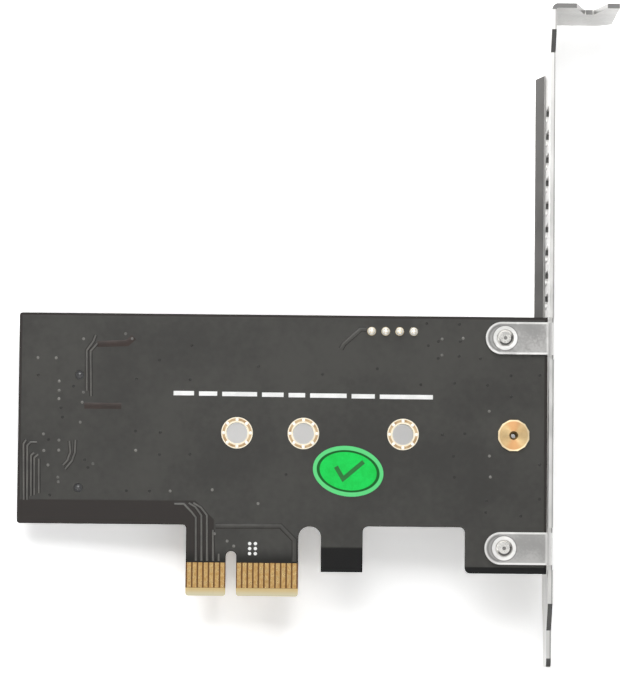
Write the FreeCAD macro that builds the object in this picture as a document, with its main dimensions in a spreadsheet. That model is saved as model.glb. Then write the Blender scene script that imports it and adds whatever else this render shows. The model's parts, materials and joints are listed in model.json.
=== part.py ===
import FreeCAD, Part
import math
import os

import Sketcher

# A low-profile circuit board that carries an M.2 storage module in a one-lane card slot,
# with a full-height vented slot bracket. Lengths are in millimetres.
# +X runs along the board to the bracket, +Z up from the contact fingers, and -Y is the
# solder side. The origin is at the key notch's centre line, on the contact fingers' lower
# edge, half way through the board.

doc = FreeCAD.newDocument("nvme_adapter_card")

SIZES = {
    # circuit board outline
    "board_thickness": 1.6,
    "board_left": 38.7,
    "board_top": 50.9,
    "board_low": 12.8,
    "board_gap": 0.25,
    "blade_margin": 0.65,
    "blade_corner": 0.5,
    "key_width": 1.9,
    "key_top": 8.1,
    "latch_slot": 4.05,
    "latch_slot_top": 12.7,
    "latch_tab": 7.55,
    "latch_tab_low": 4.5,
    "foot_width": 14.7,
    "foot_low": 4.5,
    "outline_radius": 1.0,
    "bevel_height": 1.35,
    "bevel_depth": 0.45,
    # contact fingers
    "finger_pitch": 1.0,
    "finger_gap": 0.3,
    "finger_bevel_gap": 0.15,
    "finger_top": 6.0,
    "finger_first": 1.5,
    "fingers_left": 7,
    "fingers_right": 11,
    "foil": 0.05,
    # M.2 module seat
    "module_end": 29.15,
    "module_axis": 29.45,
    "module_board": 0.8,
    "module_lift": 2.45,
    "shortest_module": 30.0,
    "short_module": 42.0,
    "middle_module": 60.0,
    "long_module": 80.0,
    "seat_hole": 3.75,
    "seat_ring": 0.97,
    # brass standoff
    "standoff_flange": 2.9,
    "standoff_flange_height": 0.45,
    "standoff_gap": 0.02,
    "standoff_collar": 2.5,
    "standoff_thread": 1.6,
    "standoff_sides": 12,
    # M.2 socket
    "socket_behind": 3.2,
    "socket_mouth": 4.2,
    "socket_roof": 0.8,
    "socket_cheek": 0.85,
    "socket_slot_room": 0.6,
    "socket_slot_gap": 1.1,
    "socket_slot_end": 0.15,
    "socket_flare": 0.9,
    "socket_step": 0.9,
    "socket_key": 1.2,
    "socket_peg_inset": 0.75,
    "socket_peg_offset": 1.45,
    "socket_peg": 1.5,
    "socket_peg_spare": 0.1,
    "socket_peg_gap": 0.05,
    "lead_pitch": 0.5,
    "lead_places": 38,
    "lead_long_run": 29,
    "lead_rear_run": 5,
    "lead_front_run": 4,
    "lead_gap": 0.28,
    "lead_thickness": 0.15,
    "lead_foot": 1.0,
    "lead_rear_rise": 1.6,
    "lead_front_rise": 1.0,
    "solder_tab_width": 1.6,
    "solder_tab_reach": 1.3,
    # header
    "header_first": 25.03,
    "header_drop": 2.8,
    "header_pitch": 2.54,
    "header_pins": 4,
    "header_width": 2.5,
    "header_height": 2.54,
    "pin_square": 0.64,
    "pin_above": 8.5,
    "pin_below": 1.0,
    "pin_room": 0.1,
    "pin_ring": 0.28,
    "joint_height": 0.9,
    "joint_slope": 15,
    "hole_sides": 8,
    # slot bracket
    "bracket_inner": 57.15,
    "sheet": 0.86,
    "bend_radius": 0.25,
    "bracket_height": 120.02,
    "bracket_top": 107.75,
    "bracket_width": 18.42,
    "head_offset": 3.17,
    "head_drop": 4.75,
    "head_taper": 3.8,
    "tongue_inset": 4.13,
    "tongue_length": 6.65,
    "tongue_taper": 4.8,
    "tongue_corner": 2.0,
    "shelf_reach": 11.43,
    "shelf_corner": 2.2,
    "notch_centre": 6.4,
    "notch_mouth": 5.6,
    "notch_root": 1.7,
    "notch_corner": 0.6,
    "notch_depth": 7.7,
    "flange_reach": 1.75,
    "flange_drop": 10.35,
    "flange_low": 6.5,
    "flange_chamfer": 1.2,
    "vent_width": 2.6,
    "vent_web": 1.7,
    "vent_margin": 4.7,
    "vent_drop": 8.5,
    "vents": 17,
    "ear_wall": 2.925,
    "ear_nose": 0.6,
    "ear_top_inset": 3.85,
    "ear_foot_inset": 4.55,
    "ear_relief": 0.9,
    "ear_relief_depth": 1.3,
    # bracket screws
    "screw_inset": 7.7,
    "screw_thread": 3.0,
    "screw_room": 0.3,
    "thread_gap": 0.03,
    "screw_rim": 1.25,
    "screw_head_height": 1.9,
    "screw_rim_height": 0.7,
    "screw_crown": 1.6,
    "screw_end": 0.25,
    "screw_end_chamfer": 0.35,
    "collar_wall": 0.65,
    "collar_height": 0.3,
    "recess_width": 0.75,
    "recess_length": 3.0,
    "recess_depth": 1.1,
    # small parts on the component side
    "bulk_length": 3.5,
    "bulk_width": 2.8,
    "bulk_height": 1.9,
    "bulk_gap": 1.6,
    "bulk_drop": 5.7,
    "bulk_first": 8.55,
    "bulk_count": 3,
    "terminal_width": 2.2,
    "terminal_reach": 0.15,
    "terminal_height": 0.95,
    "chip_length": 1.6,
    "chip_width": 0.8,
    "chip_height": 0.8,
    "chip_cap": 0.3,
    "chip_gap": 1.1,
    "chip_count": 5,
    "chip_from_socket": 3.35,
    "chip_below_axis": 6.05,
    "resistor_height": 0.45,
    "resistor_gap": 1.74,
    "resistor_below_header": 1.65,
    "resistor_count": 3,
    "lamp_height": 0.7,
    "lamp_gap": 2.4,
    "lamp_past_header": 4.05,
    "lamp_count": 2,
    # inspection label on the solder side
    "label_length": 12.8,
    "label_height": 9.1,
    "label_x": 21.0,
    "label_below_axis": 6.75,
    "label_turn": -8.0,
    "label_film": 0.1,
}


class Term:
    """A length worked out from the sheet: its number, and the text that FreeCAD binds."""

    def __init__(self, value, text=None):
        self.value = float(value)
        self.text = "%.6g" % value if text is None else text

    def _joined(self, other, sign, value):
        other = other if isinstance(other, Term) else Term(other)
        return Term(value(self.value, other.value), "(%s %s %s)" % (self.text, sign, other.text))

    def __add__(self, other):
        return self._joined(other, "+", lambda a, b: a + b)

    def __sub__(self, other):
        return self._joined(other, "-", lambda a, b: a - b)

    def __mul__(self, other):
        return self._joined(other, "*", lambda a, b: a * b)

    def __truediv__(self, other):
        return self._joined(other, "/", lambda a, b: a / b)

    def __neg__(self):
        return Term(-self.value, "(0 - %s)" % self.text)


class Sheet:
    """The spreadsheet of driving sizes, read as Terms by name."""

    def __init__(self, sizes):
        self.cells = doc.addObject("Spreadsheet::Sheet", "Sizes")
        for row, (name, number) in enumerate(sizes.items(), start=1):
            self.cells.set("A%d" % row, name.replace("_", " "))
            self.cells.set("B%d" % row, str(number))
            self.cells.setAlias("B%d" % row, name)
        doc.recompute()

    def __getattr__(self, name):
        return Term(self.cells.get(name), "Sizes." + name)


s = Sheet(SIZES)
ZERO = Term(0)
HALF_BOARD = s.board_thickness / 2
SOLDER_FACE = -HALF_BOARD
COMPONENT_FACE = HALF_BOARD
BOARD_RIGHT = s.bracket_inner - s.board_gap
FINGER_HALF = (s.finger_pitch - s.finger_gap) / 2
FINGER_LOW = s.bevel_height + s.finger_bevel_gap
BLADE_LEFT = -(s.finger_first + s.finger_pitch * (s.fingers_left - 1) + s.blade_margin)
BLADE_RIGHT = s.finger_first + s.finger_pitch * (s.fingers_right - 1) + s.blade_margin
finished = {}


def bind(target, name, term):
    """Set a property of an object and tie it to the sheet."""
    target.setExpression(name, term.text)


def make_body(label):
    body = doc.addObject("PartDesign::Body", label)
    body.AllowCompound = True
    finished[label] = body
    return body


def origin_plane(body, role):
    return next(item for item in body.Origin.OriginFeatures if item.Role == role)


def make_sketch(body, role, lift):
    """Attach a sketch to one of the body's own planes, lifted along that plane's normal.

    XZ_Plane draws X across and Z up and its normal is -Y, YZ_Plane draws Y across and Z up
    and its normal is +X, and XY_Plane draws X across and Y up and its normal is +Z.
    """
    sketch = body.newObject("Sketcher::SketchObject", body.Label + "_sketch")
    sketch.AttachmentSupport = (origin_plane(body, role), [""])
    sketch.MapMode = "FlatFace"
    bind(sketch, "AttachmentOffset.Base.z", lift)
    return sketch


def hold(sketch, kind, *places, term):
    """Add a dimension to a sketch and tie it to the sheet."""
    index = sketch.addConstraint(Sketcher.Constraint(kind, *places, term.value))
    sketch.setExpression("Constraints[%d]" % index, term.text)


def hold_point(sketch, curve, end, across, up):
    hold(sketch, "DistanceX", -1, 1, curve, end, term=across)
    hold(sketch, "DistanceY", -1, 1, curve, end, term=up)


def outline(sketch, corners):
    """Draw a closed outline. Each corner is (across, up) or (across, up, radius).

    A corner with a radius is rounded by an arc that is tangent to both of its sides.
    """
    count = len(corners)
    flat = [FreeCAD.Vector(c[0].value, c[1].value, 0) for c in corners]
    starts, ends, arcs = [], [], {}
    for i, corner in enumerate(corners):
        radius = corner[2].value if len(corner) > 2 else 0.0
        here, before, after = flat[i], flat[i - 1], flat[(i + 1) % count]
        into, out = (before - here).normalize(), (after - here).normalize()
        if radius == 0.0:
            starts.append(here)
            ends.append(here)
            continue
        half = into.getAngle(out) / 2
        back = radius / math.tan(half)
        centre = here + (into + out).normalize() * (radius / math.sin(half))
        first, last = here + into * back, here + out * back
        middle = centre + (here - centre).normalize() * radius
        ends.append(first)
        starts.append(last)
        arcs[i] = (first, middle, last)
    sides = [
        sketch.addGeometry(Part.LineSegment(starts[i], ends[(i + 1) % count]))
        for i in range(count)
    ]
    for i, corner in enumerate(corners):
        incoming, outgoing = sides[i - 1], sides[i]
        if i not in arcs:
            sketch.addConstraint(Sketcher.Constraint("Coincident", incoming, 2, outgoing, 1))
            hold_point(sketch, outgoing, 1, corner[0], corner[1])
            continue
        curve = sketch.addGeometry(Part.Arc(*arcs[i]))
        low_first = sketch.getPoint(curve, 1).distanceToPoint(arcs[i][0]) < 1e-6
        near, far = (1, 2) if low_first else (2, 1)
        sketch.addConstraint(Sketcher.Constraint("Tangent", incoming, 2, curve, near))
        sketch.addConstraint(Sketcher.Constraint("Tangent", outgoing, 1, curve, far))
        hold(sketch, "Radius", curve, term=corner[2])
        apex = sketch.addGeometry(Part.Point(flat[i]))
        sketch.setConstruction(apex, True)
        sketch.addConstraint(Sketcher.Constraint("PointOnObject", apex, 1, incoming))
        sketch.addConstraint(Sketcher.Constraint("PointOnObject", apex, 1, outgoing))
        hold_point(sketch, apex, 1, corner[0], corner[1])


def circle(sketch, across, up, diameter):
    curve = sketch.addGeometry(
        Part.Circle(
            FreeCAD.Vector(across.value, up.value, 0), FreeCAD.Vector(0, 0, 1), diameter.value / 2
        )
    )
    hold(sketch, "Diameter", curve, term=diameter)
    hold_point(sketch, curve, 3, across, up)


def rectangle(sketch, left, low, right, top):
    outline(sketch, [(left, low), (right, low), (right, top), (left, top)])


def slot(sketch, left, right, up, width):
    """Draw a round-ended slot between the centres of its two ends."""
    half = width / 2
    axis = FreeCAD.Vector(0, 0, 1)
    ends = []
    for across, first in ((left, math.pi / 2), (right, -math.pi / 2)):
        round_end = Part.Circle(FreeCAD.Vector(across.value, up.value, 0), axis, half.value)
        ends.append(sketch.addGeometry(Part.ArcOfCircle(round_end, first, first + math.pi)))
    for start, finish, lift in ((0, 1, half), (1, 0, -half)):
        height = (up + lift).value
        places = [left.value, right.value]
        side = sketch.addGeometry(Part.LineSegment(
            FreeCAD.Vector(places[start], height, 0), FreeCAD.Vector(places[finish], height, 0)
        ))
        sketch.addConstraint(Sketcher.Constraint("Tangent", side, 1, ends[start], 1))
        sketch.addConstraint(Sketcher.Constraint("Tangent", side, 2, ends[finish], 2))
    for curve, across in zip(ends, (left, right)):
        hold(sketch, "Radius", curve, term=half)
        hold_point(sketch, curve, 3, across, up)


def polygon(sketch, across, up, reach, sides):
    """Draw a closed polygon whose corners lie at one reach from its centre."""
    corners = []
    for index in range(sides):
        turn = math.tau * (index + 0.5) / sides
        corners.append((across + reach * math.cos(turn), up + reach * math.sin(turn)))
    outline(sketch, corners)


def pad(body, sketch, length, reverse=False, both=False):
    """Pad a sketch along its plane's normal, against it, or half to each side."""
    feature = body.newObject("PartDesign::Pad", body.Label + "_pad")
    feature.Profile = sketch
    feature.SideType = "Symmetric" if both else "One side"
    feature.Reversed = reverse
    bind(feature, "Length", length)
    return feature


def pocket(body, sketch, length=None, reverse=False):
    """Cut a sketch: to a depth against its plane's normal or along it, or right through."""
    feature = body.newObject("PartDesign::Pocket", body.Label + "_pocket")
    feature.Profile = sketch
    feature.Reversed = reverse
    if length is None:
        feature.SideType = "Symmetric"
        feature.Type = "ThroughAll"
    else:
        bind(feature, "Length", length)
    return feature


def row_of(body, feature, sketch, axis, pitch, count):
    """Repeat a feature along one axis of its sketch."""
    pattern = body.newObject("PartDesign::LinearPattern", body.Label + "_row")
    pattern.Originals = [feature]
    pattern.Direction = (sketch, [axis])
    pattern.Mode = "Spacing"
    bind(pattern, "Offset", pitch)
    bind(pattern, "Occurrences", count)
    body.Tip = pattern
    return pattern


def block(name, left, near, low, length, depth, height):
    """A plain block with its least corner at (left, near, low)."""
    item = doc.addObject("Part::Box", name)
    for side, term in (("Length", length), ("Width", depth), ("Height", height)):
        bind(item, side, term)
    for axis, term in (("x", left), ("y", near), ("z", low)):
        bind(item, "Placement.Base." + axis, term)
    return item


def group(label, items):
    """Keep like pieces together as separate solids of one node."""
    item = doc.addObject("Part::Compound", label)
    item.Links = items
    finished[label] = item
    return item


# --- circuit board -------------------------------------------------------------------

SEAT_LENGTHS = [s.shortest_module, s.short_module, s.middle_module, s.long_module]
SEATS = [length - s.module_end for length in SEAT_LENGTHS]
PEG_X = s.socket_peg_offset - s.module_end
SLOT_WIDTH = s.lead_pitch * s.lead_places + s.socket_slot_room * 2
SOCKET_HALF = SLOT_WIDTH / 2 + s.socket_cheek
PEG_SPREAD = SOCKET_HALF - s.socket_peg_inset
PEG_HEIGHTS = [s.module_axis + PEG_SPREAD, s.module_axis - PEG_SPREAD]
EAR_HEIGHTS = [s.foot_low + s.ear_foot_inset, s.board_top - s.ear_top_inset]
SCREW_X = BOARD_RIGHT - s.screw_inset
HEADER_AXIS = s.board_top - s.header_drop
PIN_HOLE = s.pin_square * math.sqrt(2) + s.pin_room
HOLE_SIDES = int(s.hole_sides.value)


def header_place(index):
    return s.header_first + s.header_pitch * index


def make_board():
    """The board: contact blade, key notch, latch slot, latch tab, cut-out and foot."""
    body = make_body("circuit_board")
    half_key = s.key_width / 2
    slot_right = BLADE_RIGHT + s.latch_slot
    tab_right = slot_right + s.latch_tab
    foot_left = BOARD_RIGHT - s.foot_width
    soft = s.outline_radius
    sketch = make_sketch(body, "XZ_Plane", ZERO)
    outline(sketch, [
        (-s.board_left, s.board_low, soft / 2),
        (BLADE_LEFT, s.board_low, soft * 0.7),
        (BLADE_LEFT, ZERO, s.blade_corner),
        (-half_key, ZERO, s.blade_corner),
        (-half_key, s.key_top, half_key * 0.98),
        (half_key, s.key_top, half_key * 0.98),
        (half_key, ZERO, s.blade_corner),
        (BLADE_RIGHT, ZERO, s.blade_corner),
        (BLADE_RIGHT, s.latch_slot_top, s.latch_slot * 0.49),
        (slot_right, s.latch_slot_top, s.latch_slot * 0.49),
        (slot_right, s.latch_tab_low),
        (tab_right, s.latch_tab_low),
        (tab_right, s.board_low, soft),
        (foot_left, s.board_low, soft),
        (foot_left, s.foot_low, soft),
        (BOARD_RIGHT, s.foot_low),
        (BOARD_RIGHT, s.board_top),
        (-s.board_left, s.board_top, soft / 2),
    ])
    for seat in SEATS:
        circle(sketch, seat, s.module_axis, s.seat_hole)
    for height in PEG_HEIGHTS:
        circle(sketch, PEG_X, height, s.socket_peg + s.socket_peg_gap * 2)
    for height in EAR_HEIGHTS:
        circle(sketch, SCREW_X, height, s.screw_thread + s.screw_room)
    for index in range(int(s.header_pins.value)):
        polygon(sketch, header_place(index), HEADER_AXIS, PIN_HOLE / 2, HOLE_SIDES)
    pad(body, sketch, s.board_thickness, both=True)
    bevel = make_sketch(body, "YZ_Plane", ZERO)
    inner = HALF_BOARD - s.bevel_depth
    spare = HALF_BOARD + s.bevel_depth
    outline(bevel, [(-inner, ZERO), (-HALF_BOARD, s.bevel_height), (-spare, s.bevel_height), (-spare, ZERO)])
    outline(bevel, [(inner, ZERO), (HALF_BOARD, s.bevel_height), (spare, s.bevel_height), (spare, ZERO)])
    pocket(body, bevel)


def make_fingers(label, lift, reverse, short_finger):
    """Gold contact fingers of one face. A presence-sense finger starts one pitch higher."""
    body = make_body(label)
    places = [(-s.finger_first - s.finger_pitch * k) for k in range(int(s.fingers_left.value))]
    places += [(s.finger_first + s.finger_pitch * k) for k in range(int(s.fingers_right.value))]
    sketch = make_sketch(body, "XZ_Plane", lift)
    for index, place in enumerate(places):
        low = FINGER_LOW + s.finger_pitch if index == short_finger else FINGER_LOW
        rectangle(sketch, place - FINGER_HALF, low, place + FINGER_HALF, s.finger_top)
    pad(body, sketch, s.foil, reverse=reverse)


def make_seat_pads(label, lift, reverse, seats):
    """Plated rings round the module's screw holes on one face."""
    body = make_body(label)
    sketch = make_sketch(body, "XZ_Plane", lift)
    for seat in seats:
        circle(sketch, seat, s.module_axis, s.seat_hole + s.seat_ring * 2)
        circle(sketch, seat, s.module_axis, s.seat_hole)
    pad(body, sketch, s.foil, reverse=reverse)


# --- module socket and standoff --------------------------------------------------------

SOCKET_REAR = -s.module_end - s.socket_behind
SOCKET_FRONT = -s.module_end + s.socket_mouth
SLOT_CENTRE = COMPONENT_FACE + s.module_lift + s.module_board / 2
SOCKET_HEIGHT = s.module_lift + s.module_board / 2 + s.socket_slot_gap / 2 + s.socket_roof
LEAD_WIDTH = s.lead_pitch - s.lead_gap
REAR_LOW = s.module_axis - s.lead_pitch * (s.lead_places - 1) / 2 - LEAD_WIDTH / 2
REAR_HIGH_RUN = REAR_LOW + s.lead_pitch * (s.lead_places - s.lead_long_run)
KEY_HEIGHT = s.module_axis - s.lead_pitch * (s.lead_long_run - s.lead_rear_run) / 2


def make_socket():
    """The moulded housing: stepped body, module slot with its key rib, and two pegs."""
    body = make_body("m2_socket_housing")
    low, high = s.module_axis - SOCKET_HALF, s.module_axis + SOCKET_HALF
    sketch = make_sketch(body, "XZ_Plane", -COMPONENT_FACE)
    rectangle(sketch, SOCKET_REAR, low, SOCKET_FRONT, high)
    pad(body, sketch, SOCKET_HEIGHT, reverse=True)
    # The slot opens towards the module and flares at its mouth.
    slot = make_sketch(body, "XY_Plane", s.module_axis - SLOT_WIDTH / 2)
    half_gap = s.socket_slot_gap / 2
    bottom = -s.module_end - s.socket_slot_end
    flare = s.socket_flare
    outline(slot, [
        (bottom, SLOT_CENTRE - half_gap),
        (SOCKET_FRONT - flare, SLOT_CENTRE - half_gap),
        (SOCKET_FRONT, SLOT_CENTRE - half_gap - flare / 2),
        (SOCKET_FRONT + flare, SLOT_CENTRE - half_gap - flare / 2),
        (SOCKET_FRONT + flare, SLOT_CENTRE + half_gap + flare / 2),
        (SOCKET_FRONT, SLOT_CENTRE + half_gap + flare / 2),
        (SOCKET_FRONT - flare, SLOT_CENTRE + half_gap),
        (bottom, SLOT_CENTRE + half_gap),
    ])
    pocket(body, slot, SLOT_WIDTH, reverse=True)
    rib = make_sketch(body, "XZ_Plane", -(SLOT_CENTRE - half_gap - flare / 2))
    rectangle(
        rib, bottom, KEY_HEIGHT - s.socket_key / 2,
        SOCKET_FRONT - flare, KEY_HEIGHT + s.socket_key / 2,
    )
    pad(body, rib, s.socket_slot_gap + flare, reverse=True)
    # The rear edge is stepped down over the solder feet.
    step = make_sketch(body, "XY_Plane", s.module_axis - SLOT_WIDTH / 2)
    rectangle(
        step, SOCKET_REAR - s.socket_step, COMPONENT_FACE - s.socket_step,
        SOCKET_REAR + s.socket_step, COMPONENT_FACE + s.lead_rear_rise,
    )
    pocket(body, step, SLOT_WIDTH, reverse=True)
    pegs = make_sketch(body, "XZ_Plane", -COMPONENT_FACE)
    for height in PEG_HEIGHTS:
        circle(pegs, PEG_X, height, s.socket_peg)
    pad(body, pegs, s.board_thickness - s.socket_peg_spare)


def make_leads(label, face, foot, rise, runs):
    """A row of gull-wing leads on one side of the housing, in runs of (lowest, count)."""
    body = make_body(label)
    turn = 1 if foot.value > face.value else -1
    shin = face + s.lead_thickness * turn
    top = COMPONENT_FACE + rise
    for low, count in runs:
        sketch = make_sketch(body, "XY_Plane", low)
        outline(sketch, [
            (foot, COMPONENT_FACE),
            (face, COMPONENT_FACE),
            (face, top),
            (shin, top),
            (shin, COMPONENT_FACE + s.lead_thickness),
            (foot, COMPONENT_FACE + s.lead_thickness),
        ])
        lead = pad(body, sketch, LEAD_WIDTH)
        row_of(body, lead, sketch, "N_Axis", s.lead_pitch, count)


def make_standoff():
    """Brass standoff: faceted flange on the solder side, barrel through the board, collar."""
    body = make_body("module_standoff")
    seat = SEATS[-1]
    flange = make_sketch(body, "XZ_Plane", HALF_BOARD)
    polygon(flange, seat, s.module_axis, s.standoff_flange, int(s.standoff_sides.value))
    pad(body, flange, s.standoff_flange_height)
    barrel = make_sketch(body, "XZ_Plane", HALF_BOARD)
    circle(barrel, seat, s.module_axis, s.seat_hole - s.standoff_gap * 2)
    pad(body, barrel, s.board_thickness, reverse=True)
    collar = make_sketch(body, "XZ_Plane", -COMPONENT_FACE)
    circle(collar, seat, s.module_axis, s.standoff_collar * 2)
    pad(body, collar, s.module_lift, reverse=True)
    bore = make_sketch(body, "XZ_Plane", ZERO)
    circle(bore, seat, s.module_axis, s.standoff_thread)
    pocket(body, bore)


def make_solder_tabs():
    """Flat hold-down tabs soldered at both ends of the socket."""
    mid = (SOCKET_REAR + SOCKET_FRONT) / 2 - s.solder_tab_width / 2
    tabs = []
    for name, low in (("lower_tab", -SOCKET_HALF - s.solder_tab_reach), ("upper_tab", SOCKET_HALF)):
        tabs.append(block(
            name, mid, COMPONENT_FACE, s.module_axis + low,
            s.solder_tab_width, s.lead_thickness, s.solder_tab_reach,
        ))
    group("m2_solder_tabs", tabs)


# --- header ----------------------------------------------------------------------------

HEADER_COUNT = int(s.header_pins.value)


def make_header():
    """Four-pin header: moulded strip, square pins, and their solder joints."""
    half_strip = s.header_width / 2
    strip = block(
        "strip", s.header_first - s.header_pitch / 2, COMPONENT_FACE, HEADER_AXIS - half_strip,
        s.header_pitch * s.header_pins, s.header_height, s.header_width,
    )
    half_pin = s.pin_square / 2
    pins, bores = [], []
    for index in range(HEADER_COUNT):
        corner = header_place(index) - half_pin
        low = HEADER_AXIS - half_pin
        near = SOLDER_FACE - s.pin_below
        depth = s.pin_below + s.board_thickness + s.pin_above
        pins.append(block("pin", corner, near, low, s.pin_square, depth, s.pin_square))
        bores.append(block("bore", corner, near, low, s.pin_square, depth, s.pin_square))
    group("header_pins", pins)
    cut = doc.addObject("Part::MultiFuse", "pin_bores")
    cut.Shapes = bores
    body = doc.addObject("Part::Cut", "header_body")
    body.Base = strip
    body.Tool = cut
    finished["header_body"] = body


def make_header_joints():
    """Solder that rises round each header pin from its pad on the solder side."""
    body = make_body("header_solder_joints")
    sketch = make_sketch(body, "XZ_Plane", HALF_BOARD)
    half_pin = s.pin_square / 2
    for index in range(HEADER_COUNT):
        across = header_place(index)
        polygon(sketch, across, HEADER_AXIS, PIN_HOLE / 2 + s.pin_ring, HOLE_SIDES)
    joints = pad(body, sketch, s.joint_height)
    bind(joints, "TaperAngle", -s.joint_slope)
    bores = make_sketch(body, "XZ_Plane", HALF_BOARD)
    for index in range(HEADER_COUNT):
        across = header_place(index)
        rectangle(
            bores, across - half_pin, HEADER_AXIS - half_pin,
            across + half_pin, HEADER_AXIS + half_pin,
        )
    pocket(body, bores)


# --- slot bracket ------------------------------------------------------------------------

OUTER_FACE = s.bracket_inner + s.sheet
NEAR_EDGE = SOLDER_FACE - s.sheet
FAR_EDGE = NEAR_EDGE + s.bracket_width
HEAD_EDGE = NEAR_EDGE - s.head_offset
HEAD_LOW = s.bracket_top - s.head_drop
BRACKET_LOW = s.bracket_top - s.bracket_height
TONGUE_TOP = BRACKET_LOW + s.tongue_length
FLANGE_TOP = s.bracket_top - s.flange_drop
OUTER_BEND = s.bend_radius + s.sheet
CLEAR = s.sheet


def make_bracket():
    """One folded sheet: head with its shelf, vented plate, stiffening flange, ears, tongue."""
    body = make_body("slot_bracket")
    side = make_sketch(body, "XZ_Plane", -HEAD_EDGE)
    outline(side, [
        (s.bracket_inner, BRACKET_LOW),
        (OUTER_FACE, BRACKET_LOW),
        (OUTER_FACE, s.bracket_top - s.sheet, s.bend_radius),
        (OUTER_FACE + s.shelf_reach, s.bracket_top - s.sheet),
        (OUTER_FACE + s.shelf_reach, s.bracket_top),
        (s.bracket_inner, s.bracket_top, OUTER_BEND),
    ])
    pad(body, side, s.bracket_width + s.head_offset, reverse=True)
    cut_plate_outline(body)
    cut_shelf_outline(body)
    cut_fold_rooms(body)
    add_flange(body)
    for height in EAR_HEIGHTS:
        add_ear(body, height)
    bores = make_sketch(body, "XZ_Plane", -COMPONENT_FACE)
    for height in EAR_HEIGHTS:
        circle(bores, SCREW_X, height, s.screw_thread + s.thread_gap * 2)
    pocket(body, bores, s.board_thickness + s.sheet * 3, reverse=True)
    cut_vents(body)


def cut_plate_outline(body):
    """Trim the plate: shoulder under the head on the near side, then taper to the tongue."""
    near_tongue, far_tongue = NEAR_EDGE + s.tongue_inset, FAR_EDGE - s.tongue_inset
    wide = TONGUE_TOP + s.tongue_taper
    sketch = make_sketch(body, "YZ_Plane", ZERO)
    below = BRACKET_LOW - CLEAR
    outline(sketch, [
        (HEAD_EDGE - CLEAR, below),
        (near_tongue + s.tongue_corner * 1.5, below),
        (near_tongue + s.tongue_corner * 1.5, BRACKET_LOW),
        (near_tongue, BRACKET_LOW, s.tongue_corner),
        (near_tongue, TONGUE_TOP),
        (NEAR_EDGE, wide),
        (NEAR_EDGE, HEAD_LOW - s.head_taper),
        (HEAD_EDGE, HEAD_LOW),
        (HEAD_EDGE - CLEAR, HEAD_LOW),
    ])
    outline(sketch, [
        (FAR_EDGE + CLEAR, below),
        (FAR_EDGE + CLEAR, wide),
        (FAR_EDGE, wide),
        (far_tongue, TONGUE_TOP),
        (far_tongue, BRACKET_LOW, s.tongue_corner),
        (far_tongue - s.tongue_corner * 1.5, BRACKET_LOW),
        (far_tongue - s.tongue_corner * 1.5, below),
    ])
    pocket(body, sketch)


def cut_shelf_outline(body):
    """Cut the tapered screw notch, open to the solder side, and the shelf's outer corner."""
    sketch = make_sketch(body, "XY_Plane", ZERO)
    centre = OUTER_FACE + s.notch_centre
    mouth, root = s.notch_mouth / 2, s.notch_root / 2
    bottom = HEAD_EDGE + s.notch_depth
    outline(sketch, [
        (centre - mouth, HEAD_EDGE - CLEAR),
        (centre + mouth, HEAD_EDGE - CLEAR),
        (centre + mouth, HEAD_EDGE),
        (centre + root, bottom, s.notch_corner),
        (centre - root, bottom, s.notch_corner),
        (centre - mouth, HEAD_EDGE),
    ])
    tip = OUTER_FACE + s.shelf_reach
    outline(sketch, [
        (tip - s.shelf_corner, FAR_EDGE),
        (tip, FAR_EDGE - s.shelf_corner),
        (tip + CLEAR, FAR_EDGE - s.shelf_corner),
        (tip + CLEAR, FAR_EDGE + CLEAR),
        (tip - s.shelf_corner, FAR_EDGE + CLEAR),
    ])
    pocket(body, sketch)


def cut_fold_rooms(body):
    """Open the plate's edges where the flange and the ears are folded from it."""
    sketch = make_sketch(body, "YZ_Plane", ZERO)
    for height in EAR_HEIGHTS:
        half = s.ear_wall + s.ear_relief
        rectangle(sketch, NEAR_EDGE - CLEAR, height - half, NEAR_EDGE + s.ear_relief_depth, height + half)
    rectangle(sketch, FAR_EDGE - OUTER_BEND, s.flange_low, FAR_EDGE + CLEAR, FLANGE_TOP)
    pocket(body, sketch, OUTER_FACE + CLEAR, reverse=True)


def add_flange(body):
    """The stiffening flange along the plate's far edge, folded towards the board."""
    sketch = make_sketch(body, "XY_Plane", s.flange_low)
    tip = s.bracket_inner - s.flange_reach
    root = FAR_EDGE - OUTER_BEND - s.sheet
    outline(sketch, [
        (OUTER_FACE, root),
        (OUTER_FACE, FAR_EDGE, OUTER_BEND),
        (tip, FAR_EDGE),
        (tip, FAR_EDGE - s.sheet),
        (s.bracket_inner, FAR_EDGE - s.sheet, s.bend_radius),
        (s.bracket_inner, root),
    ])
    pad(body, sketch, FLANGE_TOP - s.flange_low)
    corner = make_sketch(body, "XZ_Plane", ZERO)
    outline(corner, [
        (tip - CLEAR, FLANGE_TOP - s.flange_chamfer),
        (s.bracket_inner, FLANGE_TOP),
        (s.bracket_inner, FLANGE_TOP + CLEAR),
        (tip - CLEAR, FLANGE_TOP + CLEAR),
    ])
    pocket(body, corner)


def add_ear(body, height):
    """A mounting ear folded on to the board's solder face, with a drawn, tapped collar."""
    nose = SCREW_X - s.ear_nose
    root = NEAR_EDGE + s.ear_relief_depth + s.sheet
    sketch = make_sketch(body, "XY_Plane", height)
    outline(sketch, [
        (nose, SOLDER_FACE),
        (s.bracket_inner, SOLDER_FACE, s.bend_radius),
        (s.bracket_inner, root),
        (OUTER_FACE, root),
        (OUTER_FACE, NEAR_EDGE, OUTER_BEND),
        (nose, NEAR_EDGE),
    ])
    pad(body, sketch, s.ear_wall * 2, both=True)
    end = make_sketch(body, "XZ_Plane", HALF_BOARD)
    circle(end, nose, height, s.ear_wall * 2)
    pad(body, end, s.sheet)
    collar = make_sketch(body, "XZ_Plane", HALF_BOARD)
    circle(collar, SCREW_X, height, s.screw_thread + s.collar_wall * 2)
    pad(body, collar, s.sheet + s.collar_height)


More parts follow.
